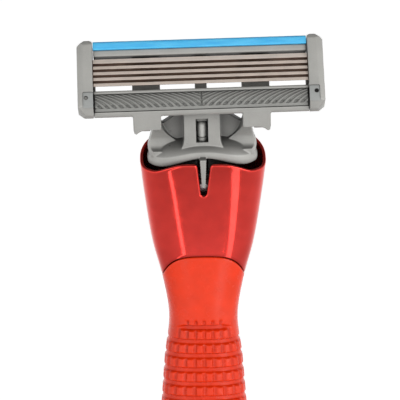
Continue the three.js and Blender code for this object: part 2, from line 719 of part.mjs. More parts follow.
// An end cap: chamfered outline, bevelled outer face, with pockets for tenon and supports.
function endCap(side) {
  const outline = [
    [FACE - 0.5, TOP - 0.9],
    [FACE + 0.3, TOP + 0.1],
    [BACK - 0.5, TOP],
    [BACK + 0.1, TOP - 0.8],
    [BACK + 0.1, BOTTOM + 1.5],
    [BACK - 1, BOTTOM + 0.1],
    [FACE + 0.9, BOTTOM - 0.05],
    [FACE - 0.4, BOTTOM + 1.3],
  ];
  const body = alongX(outline, ...mirroredSpan(side, OPEN_HALF + 0.02, HALF_LENGTH));
  const chamfer = 1.3;
  const corner = (z, up) => {
    const triangle = [[chamfer, 0], [0, 0], [0, -up * chamfer]];
    const points = triangle.map(([x, dz]) => [side * (HALF_LENGTH - x + 0.01), z + dz + up * 0.1]);
    return alongY(points, FACE - 3, 0);
  };
  const room = 0.15;
  const pocket = (front, back, low, high) =>
    box(...mirroredSpan(side, 0, OPEN_HALF + TENON.reach + room), front, back, low, high);
  const { front, back, low, high } = TENON;
  const tenonPocket = pocket(front - room, back + room, low - room, high + room);
  const supportPocket = pocket(FACE + 0.25, FACE + 2.4, FIRST_EDGE - 0.4, LIP[0] + 0.1);
  return cut(body, [corner(TOP + 0.1, 1), corner(BOTTOM - 0.05, -1), tenonPocket, supportPocket]);
}

function lubricatingStrip() {
  const [front, back] = [FACE - 0.15, FACE + 0.85];
  const [low, high] = [LIP[1] + 0.06, TOP - 0.2];
  const outline = [[back, low], [front, low], [front + 0.1, high - 0.5], [front + 0.5, high]];
  return alongX([...outline, [back, high - 0.25]], -OPEN_HALF + 0.1, OPEN_HALF - 0.1);
}

// Soft guard: a curved bed carrying two banks of slanting fins that meet at the middle.
function guardFins() {
  const half = OPEN_HALF - 0.3;
  const [low, high] = [BED[0] + 0.08, BED[1] - 0.08];
  const room = box(-half, half, FACE - 1, 0, low, high);
  const bed = guardSection(0.4, half).subtract(guardSection(0.85, half + 1)).intersect(room);
  const fin = { run: 2.5, width: 0.32, foot: BED[0] + 0.4 };
  const top = fin.foot + fin.run * Math.tan(FIN_SLANT);
  const fins = [];
  for (const side of [-1, 1]) {
    for (let x = 0.5; x < half - fin.run; x += FIN_PITCH) {
      const [a, b] = [x, x + fin.run];
      const slanted = [[a, fin.foot], [a + fin.width, fin.foot], [b + fin.width, top], [b, top]];
      fins.push(alongY(slanted.map(([u, v]) => [side * u, v]), FACE + 0.1, FACE + 0.9));
    }
  }
  const proud = guardSection(0.15, half).subtract(guardSection(0.7, half + 1)).intersect(room);
  return bed.add(join(fins).intersect(proud));
}

// Where blade i's cutting edge lies, and the points back along the blade from it.
function alongBlade(i, back, down) {
  const edge = FIRST_EDGE + i * BLADE_PITCH;
  const [c, s] = [Math.cos(BLADE_ANGLE), Math.sin(BLADE_ANGLE)];
  return [FACE + back * s + down * c, edge + back * c - down * s];
}

function bladeWidth(i) {
  return i === BLADES - 1 ? TOP_BLADE_WIDTH : BLADE_WIDTH;
}

function blade(i) {
  const width = bladeWidth(i);
  const bevel = 0.2;
  const outline = [
    alongBlade(i, 0, 0),
    alongBlade(i, width, 0),
    alongBlade(i, width, BLADE_THICK),
    alongBlade(i, bevel, BLADE_THICK),
  ];
  return alongX(outline, -OPEN_HALF + 0.1, OPEN_HALF - 0.1);
}

// A bent strip: its upper limb lies under the blade, and its leg slants down into the housing.
// The lowest leg is short, which leaves a slot open above the guard.
function bladeSupport(i) {
  const under = BLADE_THICK + 0.03;
  const [limb, leg] = [0.14, 0.18]; // thickness of each
  const deep = i === 0 ? 0.4 : 1.5;
  const drop = deep / 3;
  const [kneeY, kneeZ] = alongBlade(i, bladeWidth(i), under);
  const outline = [
    alongBlade(i, 0.22, under),
    [kneeY, kneeZ],
    [kneeY + deep, kneeZ - drop],
    [kneeY + deep, kneeZ - drop - leg],
    [kneeY + 0.1, kneeZ - leg],
    alongBlade(i, 0.22, under + limb),
  ];
  return alongX(outline, -OPEN_HALF - 1.2, OPEN_HALF + 1.2);
}

// ---- colours ------------------------------------------------------------------------------

function finish(color, roughness, metalness = 0) {
  return new THREE.MeshStandardMaterial({ color, roughness, metalness });
}

const METALLIC_RED = finish(0xc8322c, 0.22, 0.6);
const SOFT_RED = finish(0xf04a2c, 0.5);
const DARK_PLASTIC = finish(0x3a1512, 0.6);
const GREY_PLASTIC = finish(0xa4a39e, 0.4);
const DOCK_GREY = finish(0x9a9a96, 0.4);
const RUBBER_GREY = finish(0x7c7b77, 0.7);
const STRIP_BLUE = finish(0x55b4e6, 0.5);
const BLADE_STEEL = finish(0xc6b4a6, 0.3, 1);
const SPRING_STEEL = finish(0x9b9c9f, 0.35, 1);
const WEIGHT_STEEL = finish(0x77797c, 0.5, 1);

// ---- assembly -----------------------------------------------------------------------------

const razor = new THREE.Group();

function place(group, name, solid, material) {
  const mesh = new THREE.Mesh(geometryOf(solid), material);
  mesh.name = name;
  group.add(mesh);
  return mesh;
}

place(razor, "head_shell", headShell(), METALLIC_RED);
place(razor, "grip_sleeve", gripSleeve(), SOFT_RED);
place(razor, "tail_shell", tailShell(), METALLIC_RED);
place(razor, "tail_cap", tailCap(), SOFT_RED);
place(razor, "core", core(), DARK_PLASTIC);
place(razor, "balance_weight", balanceWeight(), WEIGHT_STEEL);

const head = new THREE.Group();
head.position.set(0, spineY(MOUTH_Z), MOUTH_Z);
head.rotation.x = HEAD_LEAN;
razor.add(head);
place(head, "roll_pin", rollPin(), SPRING_STEEL);
place(head, "centring_leaf", centringLeaf(), SPRING_STEEL);

const eject = new THREE.Group();
eject.position.set(0, spineY(EJECT_Z), EJECT_Z);
eject.rotation.x = spineLean(EJECT_Z);
razor.add(eject);
place(eject, "eject_button", ejectButton(), SOFT_RED);
place(eject, "eject_pusher", ejectPusher(), DARK_PLASTIC);
const ejectCoil = place(eject, "eject_spring", ejectSpring(), SPRING_STEEL);
ejectCoil.position.set(0, EJECT_COIL.depth, BUTTON.high + EJECT_COIL.play);

const rock = new THREE.Group();
rock.position.z = ROLL_Z;
rock.rotation.y = -REST_ROLL;
head.add(rock);
const dock = new THREE.Group();
dock.position.z = -ROLL_Z;
rock.add(dock);
place(dock, "dock_body", dockBody(), DOCK_GREY);
place(dock, "horn_pin_left", hornPin(-1), SPRING_STEEL);
place(dock, "horn_pin_right", hornPin(1), SPRING_STEEL);
place(dock, "spring_seat", springSeat(), DOCK_GREY);
place(dock, "plunger", plunger(), GREY_PLASTIC);
const springLength = PLUNGER_BASE - SEAT_Z - 2 * PLUNGER_COIL.play;
const plungerCoil = place(dock, "plunger_spring", coil(PLUNGER_COIL, springLength), SPRING_STEEL);
plungerCoil.position.set(0, PLUNGER_Y, SEAT_Z + PLUNGER_COIL.play);

const cartridge = new THREE.Group();
cartridge.position.set(...PIVOT);
cartridge.rotation.x = -FACE_LEAN;
dock.add(cartridge);
place(cartridge, "housing", housing(), GREY_PLASTIC);
place(cartridge, "end_cap_left", endCap(-1), GREY_PLASTIC);
place(cartridge, "end_cap_right", endCap(1), GREY_PLASTIC);
place(cartridge, "lubricating_strip", lubricatingStrip(), STRIP_BLUE);
place(cartridge, "guard_fins", guardFins(), RUBBER_GREY);
for (let i = 0; i < BLADES; i++) {
  place(cartridge, `blade_${i + 1}`, blade(i), BLADE_STEEL);
  place(cartridge, `blade_support_${i + 1}`, bladeSupport(i), SPRING_STEEL);
}

export default razor;
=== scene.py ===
"""Looks of a cartridge razor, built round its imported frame. Shapes are made in millimetres in
four frames of their own (handle, head, dock, cartridge) and turned into metres at the end."""

import math

import bmesh
import bpy
import numpy as np
from mathutils import Matrix, Vector


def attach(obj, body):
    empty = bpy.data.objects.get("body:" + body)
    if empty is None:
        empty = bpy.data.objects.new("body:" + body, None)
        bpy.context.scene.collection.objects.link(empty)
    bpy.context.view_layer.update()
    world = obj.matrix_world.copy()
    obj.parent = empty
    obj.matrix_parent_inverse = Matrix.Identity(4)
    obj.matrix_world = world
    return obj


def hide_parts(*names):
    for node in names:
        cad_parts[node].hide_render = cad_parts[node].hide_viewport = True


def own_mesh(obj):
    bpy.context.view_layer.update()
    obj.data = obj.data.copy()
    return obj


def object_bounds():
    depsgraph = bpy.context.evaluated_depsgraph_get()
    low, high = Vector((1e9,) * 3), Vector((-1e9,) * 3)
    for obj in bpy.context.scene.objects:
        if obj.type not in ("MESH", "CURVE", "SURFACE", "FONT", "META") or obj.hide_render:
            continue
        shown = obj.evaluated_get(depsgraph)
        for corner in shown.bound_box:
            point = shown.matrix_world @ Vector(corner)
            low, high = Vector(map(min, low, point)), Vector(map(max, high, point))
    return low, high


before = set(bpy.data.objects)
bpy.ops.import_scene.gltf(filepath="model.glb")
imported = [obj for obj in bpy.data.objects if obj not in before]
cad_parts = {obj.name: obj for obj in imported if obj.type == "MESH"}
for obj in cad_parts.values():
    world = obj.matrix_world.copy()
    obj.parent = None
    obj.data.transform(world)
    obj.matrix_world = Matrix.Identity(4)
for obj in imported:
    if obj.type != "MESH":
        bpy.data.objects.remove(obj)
cad_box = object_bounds()

MM = 0.001
DEG = math.pi / 180

# ---- driving dimensions ----
# As in the CAD source, but for the teeth, the horns' foot, the fins' bed and spacing, and the lugs.

GAP = 0.15
BOW_SLOPE, BOW_SIZE, BOW_LENGTH = 0.158, 3.156, 28.77
MOUTH_Z, TAIL_Z = 41.5, -80.0
SQUARENESS = 2.7
STATIONS = np.array([  # height, half width, depth to the front, depth to the back
    (TAIL_Z, 5.0, 4.0, 4.2),
    (-62, 6.1, 4.8, 5.0),
    (-36, 7.2, 5.6, 5.9),
    (-8, 7.7, 5.9, 6.2),
    (6.5, 6.8, 5.5, 5.6),
    (13.7, 5.95, 5.2, 5.2),
    (20, 6.85, 5.2, 5.3),
    (27.4, 8.75, 5.3, 5.5),
    (35, 9.95, 5.4, 5.6),
    (MOUTH_Z, 10.7, 5.4, 5.6),
    (MOUTH_Z + 5, 10.9, 5.4, 5.6),
])
SHELL_WALL = 0.6
RIM_CREST, RIM_BACK = 1.8, 3.0
SLOT_TOP, SLOT_END, SLOT_DEPTH = 1.1, 0.56, -3.6
ARCH_Z, ARCH_DROP = 25.6, 4.2
GRIP_FOOT_Z, FOOT_RISE, GRIP_WALL = -44.0, 5.0, 1.5
RIB_TOP_Z, RIB_PITCH, RIB_ROWS, RIB_GROOVE, RIB_DEPTH = 12.5, 2.52, 9, 1.0, 0.6
BLOCKS_ROUND, SLOT_SHARE, SLOT_CUT = 24, 0.16, 0.34  # blocks all round, half a slot's share, its depth
CAP_Z = TAIL_Z + 5

ROLL_Z, REST_ROLL = -3.4, 1.4 * DEG
PIN_R = 0.8
CAP_HALF, CAP_FRONT, CAP_BACK, CAP_SQUARENESS = 9.35, 4.25, 4.4, 2.6
CAP_SKIRT, CAP_LOW, CAP_HIGH, CAP_CROWN = -1.6, (2.25, 0.5), (3.15, 1.8), 4.9
CAP_SHARE = 0.985  # of the cap's outline, within which the horns stay
STEM_HALF, STEM_DEEP, STEM_Z = 2.5, 2.95, (-6.2, -1.2)
GABLE_HALF, GABLE_FOOT, GABLE_EDGE, GABLE_SLOPE = 0.7, 2.5, 7.3, 0.68
POST_HALF, POST_FRONT, POST_TOP = 3.05, 3.1, 10.3
WINDOW_HALF, WINDOW_Z = 1.03, (4.8, 9.2)
HORN_X, HORN_R, TRUNNION_R = (6.85, 8.3), 1.25, 0.8
HORN_FRONT, HORN_BACK, HORN_FOOT, HORN_REACH, HORN_LOW = -1.2, 1.1, 2.0, 2.4, 4.6
HORN_FLARE = (9.3, 4.2)
PLUNGER_Y, PLUNGER_R, PLUNGER_TIP, PLUNGER_BASE = -1.6, 0.83, 8.17, 3.4
SEAT_Z = -1.0

PIVOT = (0.0, -3.3, 9.2)
FACE_LEAN = 45 * DEG
HALF_LENGTH, OPEN_HALF = 20.5, 17.9
FACE, BACK, WEB = -4.91, -1.1, -2.5
TOP, BOTTOM = 12.82, -0.14
LIP = (9.95, 11.05)
GUARD_TOP = 3.99
BLADE_PITCH, FIRST_EDGE, BLADES = 1.01, 4.61, 5
BLADE_WIDTH, TOP_BLADE_WIDTH, BLADE_THICK, BLADE_ANGLE = 0.66, 0.95, 0.12, 24 * DEG
EAR_X = (6.8, 11.45)
RIB_FOOT = 1.2  # where the ribs behind the opening start
LUG_X, LUG_Z, LUG_DEPTH = (-0.2, 1.75), (0.75, 3.55), 0.22  # X from the end of the opening
LUG_PAD_X, LUG_PAD_Z = (0.02, 1.72), (0.78, 3.52)
LUG_PIT_R, LUG_PIT_X, LUG_PIT_Z = 0.37, 1.2, 2.55
BED = (BOTTOM + 0.85, GUARD_TOP - 0.7)
BED_DROP = 0.28  # how far the bed runs on below the fins
FIN_PITCH = 1.17

EJECT_Z = 31.0
TRACK_HALF, TRACK_Z = 2.6, (-3.8, 2.9)
BUTTON_HALF, BUTTON_Z, BUTTON_PROUD = 2.45, (-3.4, -0.2), 0.9
EJECT_COIL = {"radius": 0.7, "wire": 0.13, "turns": 4, "length": 2.9}
EJECT_COIL_Y, EJECT_COIL_PLAY, RELEASE_TRAVEL = 3.4, 0.1, 1.5
PLUNGER_COIL = {"radius": 0.55, "wire": 0.14, "turns": 6, "length": 4.3}
PLUNGER_COIL_PLAY, PLUNGER_TRAVEL = 0.05, 1.7

# ---- the handle's surface ----


def spine_y(z):
    return BOW_SLOPE * z - BOW_SIZE * (np.exp(z / BOW_LENGTH) - 1)


def spine_lean(z):
    return np.arctan((BOW_SIZE / BOW_LENGTH) * np.exp(z / BOW_LENGTH) - BOW_SLOPE)


def section_at(z):
    """Half width, front depth and back depth at the heights z, by cubics through the stations."""
    z = np.asarray(z, float)
    heights = STATIONS[:, 0]
    last = len(heights) - 1
    i = np.searchsorted(heights[1:last], z, side="left")
    before, after = np.maximum(i - 1, 0), np.minimum(i + 2, last)
    span = heights[i + 1] - heights[i]
    t = np.clip((z - heights[i]) / span, 0, 1)
    found = []
    for k in (1, 2, 3):
        value = STATIONS[:, k]
        slope_a = (value[i + 1] - value[before]) / (heights[i + 1] - heights[before]) * span
        slope_b = (value[after] - value[i]) / (heights[after] - heights[i]) * span
        found.append(
            (2 * t**3 - 3 * t**2 + 1) * value[i]
            + (t**3 - 2 * t**2 + t) * slope_a
            + (3 * t**2 - 2 * t**3) * value[i + 1]
            + (t**3 - t**2) * slope_b
        )
    return found


def signed_power(value, power):
    return np.sign(value) * np.abs(value) ** power


def smooth(low, high, value):
    t = np.clip((np.asarray(value, float) - low) / (high - low), 0, 1)
    return t * t * (3 - 2 * t)


def run_along(points):
    """The way along a line of points, from the first to each."""
    return np.concatenate([[0], np.cumsum(np.linalg.norm(np.diff(points, axis=0), axis=1))])


def on_handle(z, angle, inset=0.0):
    """Points of the handle's surface, sunk by inset. The angle is 0 in front and grows to +X."""
    z, angle, inset = np.broadcast_arrays(np.asarray(z, float), angle, inset)
    half, front, back = section_at(z)
    depth = np.where(np.cos(angle) > 0, front, back)
    x = (half - inset) * signed_power(np.sin(angle), 2 / SQUARENESS)
    forward = (depth - inset) * signed_power(np.cos(angle), 2 / SQUARENESS)
    lean = spine_lean(z)
    return np.stack([x, spine_y(z) - forward * np.cos(lean), z - forward * np.sin(lean)], -1)


def even_angles(count, z):
    """Angles of points spaced evenly round the section at height z, from the front round."""
    dense = np.linspace(0, 2 * math.pi, 6001)
    run = run_along(on_handle(z, dense))
    return np.interp(np.linspace(0, run[-1], count + 1)[:-1], run, dense)


def rim_rise(angle):
    turn = np.abs(angle) / DEG
    return RIM_CREST * (1 - smooth(8, 50, turn)) + RIM_BACK * smooth(65, 150, turn)


def arch_z(angle):
    return ARCH_Z - ARCH_DROP * np.abs(np.sin(angle)) ** 2.4


def foot_z(angle):
    return GRIP_FOOT_Z + FOOT_RISE * np.cos(angle) ** 2


HEAD_LEAN = float(spine_lean(MOUTH_Z))
HEAD = Matrix.Translation((0, float(spine_y(MOUTH_Z)), MOUTH_Z)) @ Matrix.Rotation(HEAD_LEAN, 4, "X")
DOCK = (
    HEAD
    @ Matrix.Translation((0, 0, ROLL_Z))
    @ Matrix.Rotation(-REST_ROLL, 4, "Y")
    @ Matrix.Translation((0, 0, -ROLL_Z))
)
UPRIGHT = Matrix.Rotation(FACE_LEAN, 4, "X")
CARTRIDGE = DOCK @ Matrix.Translation(PIVOT) @ UPRIGHT.inverted()
EJECT_SPINE = Matrix.Translation((0, float(spine_y(EJECT_Z)), EJECT_Z))
EJECT = EJECT_SPINE @ Matrix.Rotation(float(spine_lean(EJECT_Z)), 4, "X")

# ---- mesh tools ----


def mesh_object(vertices, faces):
    mesh = bpy.data.meshes.new("piece")
    mesh.from_pydata([tuple(v) for v in np.asarray(vertices, float)], [], [list(f) for f in faces])
    mesh.validate()
    made = bpy.data.objects.new("piece", mesh)
    bpy.context.scene.collection.objects.link(made)
    return outward(made)


def outward(made):
    """Turns all faces to point out of the closed mesh."""
    work = bmesh.new()
    work.from_mesh(made.data)
    bmesh.ops.recalc_face_normals(work, faces=work.faces)
    if work.calc_volume(signed=True) < 0:
        bmesh.ops.reverse_faces(work, faces=work.faces)
    work.to_mesh(made.data)
    work.free()
    return made


def loft(rings, closed=False):
    """A skin over rings of points, all of one length. Closed joins the last ring to the first,
    and otherwise each end is capped by one face."""
    rings = np.asarray(rings, float)
    rows, columns = rings.shape[:2]
    faces = []
    for i in range(rows if closed else rows - 1):
        low, high = i * columns, (i + 1) % rows * columns
        for j in range(columns):
            k = (j + 1) % columns
            faces.append((low + j, low + k, high + k, high + j))
    if not closed:
        faces.append(list(range(columns))[::-1])
        faces.append(list(range((rows - 1) * columns, rows * columns)))
    return mesh_object(rings.reshape(-1, 3), faces)


AXES = {"x": (1, 2, 0), "y": (0, 2, 1), "z": (0, 1, 2)}  # the outline's two axes, then its own


def prism(outline, axis, start, end):
    """An outline of two coordinates, swept along the third axis."""
    u, v, w = AXES[axis]
    rings = np.zeros((2, len(outline), 3))
    rings[:, :, u] = [p[0] for p in outline]
    rings[:, :, v] = [p[1] for p in outline]
    rings[0, :, w], rings[1, :, w] = start, end
    return loft(rings)


def rectangle(x, y):
    return [(x[0], y[0]), (x[1], y[0]), (x[1], y[1]), (x[0], y[1])]


def box(x, y, z):
    return prism(rectangle(x, y), "z", *z)


def lathe(profile, axis, centre, segments=64):
    """A profile of (radius, level) points turned round an axis through centre."""
    u, v, w = AXES[axis]
    turn = np.linspace(0, 2 * math.pi, segments, endpoint=False)
    rings = np.zeros((len(profile), segments, 3))
    for i, (radius, level) in enumerate(profile):
        rings[i, :, u] = centre[0] + radius * np.cos(turn)
        rings[i, :, v] = centre[1] + radius * np.sin(turn)
        rings[i, :, w] = level
    return loft(rings)


def rod(axis, radius, start, end, centre, segments=48):
    return lathe([(radius, start), (radius, end)], axis, centre, segments)


def arc(centre, radius, start, end, count=8):
    """Points on an arc, the angles in degrees."""
    turns = np.linspace(start * DEG, end * DEG, count + 1)
    return [(centre[0] + radius * math.cos(t), centre[1] + radius * math.sin(t)) for t in turns]


def curve(a, control, b, count=10):
    """Points on a quadratic curve."""
    a, control, b = np.array(a), np.array(control), np.array(b)
    t = np.linspace(0, 1, count + 1)[:, None]
    return [tuple(p) for p in (1 - t) ** 2 * a + 2 * t * (1 - t) * control + t**2 * b]


def rounded(outline, radius, steps=5):
    """The outline with every corner replaced by a curve that starts radius before it."""
    points = []
    for i, corner in enumerate(outline):
        corner = np.array(corner, float)
        for_before = np.array(outline[i - 1], float) - corner
        for_after = np.array(outline[(i + 1) % len(outline)], float) - corner
        reach_a = min(radius, 0.45 * np.linalg.norm(for_before))
        reach_b = min(radius, 0.45 * np.linalg.norm(for_after))
        a = corner + for_before / np.linalg.norm(for_before) * reach_a
        b = corner + for_after / np.linalg.norm(for_after) * reach_b
        points += curve(a, corner, b, steps)
    return points


def mirrored(side, a, b):
    return (a, b) if side > 0 else (-b, -a)


def apply_modifiers(made):
    graph = bpy.context.evaluated_depsgraph_get()
    mesh = bpy.data.meshes.new_from_object(made.evaluated_get(graph))
    made.modifiers.clear()
    made.data = mesh
    return made


def drop(others):
    for other in others:
        bpy.data.objects.remove(other)


def combine(made, others, operation):
    """The boolean of a solid with each of the others, which are used up."""
    for other in others:
        modifier = made.modifiers.new("boolean", "BOOLEAN")
        modifier.operation = operation
        modifier.object = other
        modifier.solver = "MANIFOLD"
        apply_modifiers(made)
    drop(others)
    return made


def union(pieces):
    return combine(pieces[0], pieces[1:], "UNION")


def cut(made, tools):
    return combine(made, tools, "DIFFERENCE")


def soften(made, voxel, rounds):
    """Remeshes a solid finely and rounds its edges and inner corners as a mould does."""
    remesh = made.modifiers.new("remesh", "REMESH")
    remesh.mode = "VOXEL"
    remesh.voxel_size = voxel
    relax = made.modifiers.new("relax", "SMOOTH")
    relax.factor = 0.5
    relax.iterations = rounds
    return apply_modifiers(made)


def bevel(made, width, segments, angle=30):
    modifier = made.modifiers.new("bevel", "BEVEL")
    modifier.width = width
    modifier.segments = segments
    modifier.limit_method = "ANGLE"
    modifier.angle_limit = angle * DEG
    return apply_modifiers(made)


def moved(made, matrix):
    made.data.transform(matrix)
    return made


def settle(made, name, place, body, material, nodes, crease=32):
    """Names a finished piece, places it, sets its looks and gives it to its body."""
    made.name = name
    made.data.name = name
    made.data.transform(Matrix.Scale(MM, 4) @ place)
    made.data.shade_smooth()
    made.data.set_sharp_from_angle(angle=crease * DEG)
    made.data.materials.clear()
    made.data.materials.append(material)
    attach(made, body)
    if nodes:
        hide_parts(*nodes)


# ---- handle ----


def rim_edge(count):
    """Half of the rim's edge from the slot's foot to the back, as arc length round the shell and
    height, evenly spaced."""
    heights = np.linspace(30, 50, 400)
    front = on_handle(heights, 0.0)
    in_head = np.array([(HEAD.inverted() @ Vector(p)).z for p in front])
    to_height = lambda z: np.interp(z, in_head, heights)
    foot = [(x, to_height(z)) for x, z in arc((0, SLOT_DEPTH), SLOT_END, -90, 0, 16)]
    angles = np.linspace(0, math.pi, 1500)
    rim = np.stack([turn_to_run(angles), MOUTH_Z + rim_rise(angles) * math.cos(HEAD_LEAN)], -1)
    corner = (SLOT_TOP, float(rim[0][1]))
    reach = 0.75
    low = (SLOT_TOP - 0.06, corner[1] - reach)
    high = (SLOT_TOP + reach, float(np.interp(SLOT_TOP + reach, rim[:, 0], rim[:, 1])))
    line = foot + curve(low, corner, high, 14) + [tuple(p) for p in rim[rim[:, 0] > high[0] + 0.05]]
    line = np.array(line)
    run = run_along(line)
    even = np.linspace(0, run[-1], count + 1)
    return np.stack([np.interp(even, run, line[:, 0]), np.interp(even, run, line[:, 1])], -1)


RUN_ANGLES = np.linspace(0, math.pi, 4001)
RUN_LENGTHS = run_along(on_handle(MOUTH_Z, RUN_ANGLES))


def turn_to_run(angle):
    return np.interp(angle, RUN_ANGLES, RUN_LENGTHS)


def run_to_turn(run):
    return np.interp(run, RUN_LENGTHS, RUN_ANGLES)


def head_shell():
    """The shell's wall: up its outside, over a round lip, down its inside. Columns fan out from
    the slot, so that the mesh follows the whole rim."""
    count, rows, lip = 170, 60, SHELL_WALL / 2
    edge = rim_edge(count)
    along = np.gradient(edge, axis=0)
    along /= np.linalg.norm(along, axis=1)[:, None]
    outside = np.stack([-along[:, 1], along[:, 0]], -1)
    inner = edge - outside * lip
    inner[0, 0] = inner[-1, 0] * 0
    inner[-1, 0] = RUN_LENGTHS[-1]
    top_turn, top_z = run_to_turn(inner[:, 0]), inner[:, 1]
    edge_turn = run_to_turn(edge[:, 0])
    share = np.linspace(0, 1, count + 1)
    foot_turn = run_to_turn(share**1.1 * RUN_LENGTHS[-1])
    both = lambda half, sign: np.concatenate([half, sign * half[-2:0:-1]])
    top_turn, foot_turn = both(top_turn, -1), both(foot_turn, -1)
    edge_turn = both(edge_turn, -1)
    top_z, edge_z = both(top_z, 1), both(edge[:, 1], 1)
    foot = arch_z(foot_turn) + GAP
    between = lambda low, high, t: low + (high - low) * t
    at = lambda t, inset: on_handle(between(foot, top_z, t), between(foot_turn, top_turn, t), inset)
    levels = np.linspace(0, 1, rows + 1)
    outer = [at(t, 0) for t in levels[1:]]
    core_side = [at(t, SHELL_WALL) for t in levels[:0:-1]]
    middle = at(1, lip)
    across = at(1, 0) - middle
    beyond = on_handle(edge_z, edge_turn, 0) - at(1, 0)
    beyond *= lip / np.linalg.norm(beyond, axis=1)[:, None]
    over = [middle + across * math.cos(t) + beyond * math.sin(t) for t in np.linspace(0, math.pi, 9)[1:-1]]
    small = 0.1
    seam = [(SHELL_WALL, small), (SHELL_WALL - small, 0), (small, 0), (0.3 * small, 0.3 * small)]
    under = [on_handle(foot + rise, foot_turn, inset) for inset, rise in seam]
    shell = loft(outer + over + core_side + under, closed=True)
    corner = 0.6
    opening = rounded(rectangle((-TRACK_HALF, TRACK_HALF), TRACK_Z), corner)
    track = moved(prism(opening, "y", 3, 9), EJECT)
    return cut(shell, [track])


def grip_relief(flat, turn):
    """How far the grip's surface is sunk at a height and a share of the way round: level grooves
    with slots between them, which leave rows of blocks. The top groove is only in front and
    behind, with a row of short slots above it."""
    round_off = np.minimum(turn, 1 - turn)
    aside = np.minimum(round_off, 0.5 - round_off) * 2
    below = (RIB_TOP_Z - flat) / RIB_PITCH
    row = np.clip(np.round(below), 0, RIB_ROWS)
    off = np.abs(below - row) * RIB_PITCH
    top_reach = 1 - smooth(0.18, 0.30, aside)
    reach = np.where(row == 0, top_reach, 0.3 + 0.7 * (1 - smooth(0.3, 0.47, aside)))
    half = RIB_GROOVE / 2 * np.where(row == 0, 0.3 + 0.7 * top_reach, 1)
    groove = RIB_DEPTH * np.where(row == 0, 1.35, 1) * reach * (1 - smooth(half - 0.2, half + 0.1, off))
    phase = np.abs((turn * BLOCKS_ROUND) % 1 - 0.5)
    lane = smooth(0.5 - SLOT_SHARE - 0.09, 0.5 - SLOT_SHARE + 0.09, phase)
    wide = np.where(below < 1, 1 - smooth(0.25, 0.31, aside), 1 - smooth(0.36, 0.46, aside))
    rows = smooth(0, 0.1, below) * (1 - smooth(RIB_ROWS - 0.1, RIB_ROWS, below)) * wide
    short = (1 - smooth(0.16, 0.2, aside)) * smooth(-0.62, -0.42, below)
    slots = SLOT_CUT * lane * np.where(below > 0, rows, short)
    return np.maximum(groove, slots)


def grip_sleeve():
    columns = 288
    angles = even_angles(columns, 0.0)
    turn = np.arange(columns) / columns
    ribs_low = RIB_TOP_Z - (RIB_ROWS + 0.5) * RIB_PITCH
    ribs_high = RIB_TOP_Z + 2.2
    flats = np.concatenate([
        np.linspace(GRIP_FOOT_Z + 0.3, ribs_low, 60, endpoint=False),
        np.arange(ribs_low, ribs_high, 0.12),
        np.linspace(ribs_high, ARCH_Z - 0.35, 34),
    ])

    def at(flat, inset):
        near_top = smooth(RIB_TOP_Z + 1, ARCH_Z, flat)
        near_foot = smooth(RIB_TOP_Z - (RIB_ROWS + 1) * RIB_PITCH, GRIP_FOOT_Z, flat)
        z = flat + near_top * (arch_z(angles) - ARCH_Z) + near_foot * (foot_z(angles) - GRIP_FOOT_Z)
        return on_handle(z, angles, inset)

    outer = [at(flat, grip_relief(flat, turn)) for flat in flats]
    lip = [(0.3, t) for t in (25, 50, 75, 90)]
    upper = [at(ARCH_Z - r * (1 - math.sin(t * DEG)), r * (1 - math.cos(t * DEG))) for r, t in lip]
    inner = [at(flat, GRIP_WALL) for flat in np.linspace(ARCH_Z, GRIP_FOOT_Z, 16)]
    lower = [at(GRIP_FOOT_Z + r * (1 - math.sin(t * DEG)), r * (1 - math.cos(t * DEG))) for r, t in lip[::-1]]
    return loft(outer + upper + inner + lower, closed=True)


def tail_shell():
    angles = even_angles(200, -60.0)
    low, high = CAP_Z + GAP, foot_z(angles) - GAP
    at = lambda t, dz, inset: on_handle(low + (high - low) * t + dz, angles, inset)
    r = 0.15
    outer = [at(t, 0, 0) for t in np.linspace(0.01, 0.99, 60)]
    top = [at(1, -r * 0.3, r * 0.3), at(1, 0, r), at(1, 0, GRIP_WALL - r), at(1, -r, GRIP_WALL)]
    inner = [at(t, 0, GRIP_WALL) for t in np.linspace(0.95, 0.05, 10)]
    foot = [at(0, r, GRIP_WALL), at(0, 0, GRIP_WALL - r), at(0, 0, r), at(0, r * 0.3, r * 0.3)]
    return loft(outer + top + inner + foot, closed=True)


def tail_cap():
    """A soft cap, rounded at its foot, with a shallow ring groove."""
    angles = even_angles(160, -77.0)
    heights = np.linspace(CAP_Z - 0.1, TAIL_Z + 0.9, 26)
    groove_z, groove_half, groove_depth = CAP_Z - 1.6, 0.45, 0.25
    inset = groove_depth * (1 - smooth(0.1, groove_half, np.abs(heights - groove_z)))
    wall = [on_handle(z, angles, i) for z, i in zip(heights, inset)]
    foot_r = 0.9
    foot = []
    for t in np.linspace(0, 90, 9)[1:]:
        sunk = foot_r * (1 - math.cos(t * DEG))
        foot.append(on_handle(TAIL_Z + foot_r * (1 - math.sin(t * DEG)), angles, sunk))
    spigot = [on_handle(CAP_Z + up, angles, inset) for up, inset in ((0, 0.15), (0, 1.9), (4, 1.9))]
    return loft(foot[::-1] + wall[::-1] + spigot)


def eject_button():
    face = float(section_at(EJECT_Z)[2]) + BUTTON_PROUD
    half = BUTTON_HALF - GAP
    pad = prism(rounded(rectangle((-half, half), BUTTON_Z), 0.5), "y", 2.6, face)
    ridge = lambda up: rod("x", 0.28, -1.75, 1.75, (face, BUTTON_Z[0] + up), 24)
    return soften(union([pad] + [ridge(up) for up in (0.7, 1.4, 2.1)]), 0.08, 6)


# ---- dock ----


def cap_edges(x):
    """Heights of the cap's lower and upper edge: both rise to a crest at the middle."""
    fall = smooth(0.06, 0.85, np.abs(x) / CAP_HALF)
    return [middle + (end - middle) * fall for middle, end in (CAP_LOW, CAP_HIGH)]


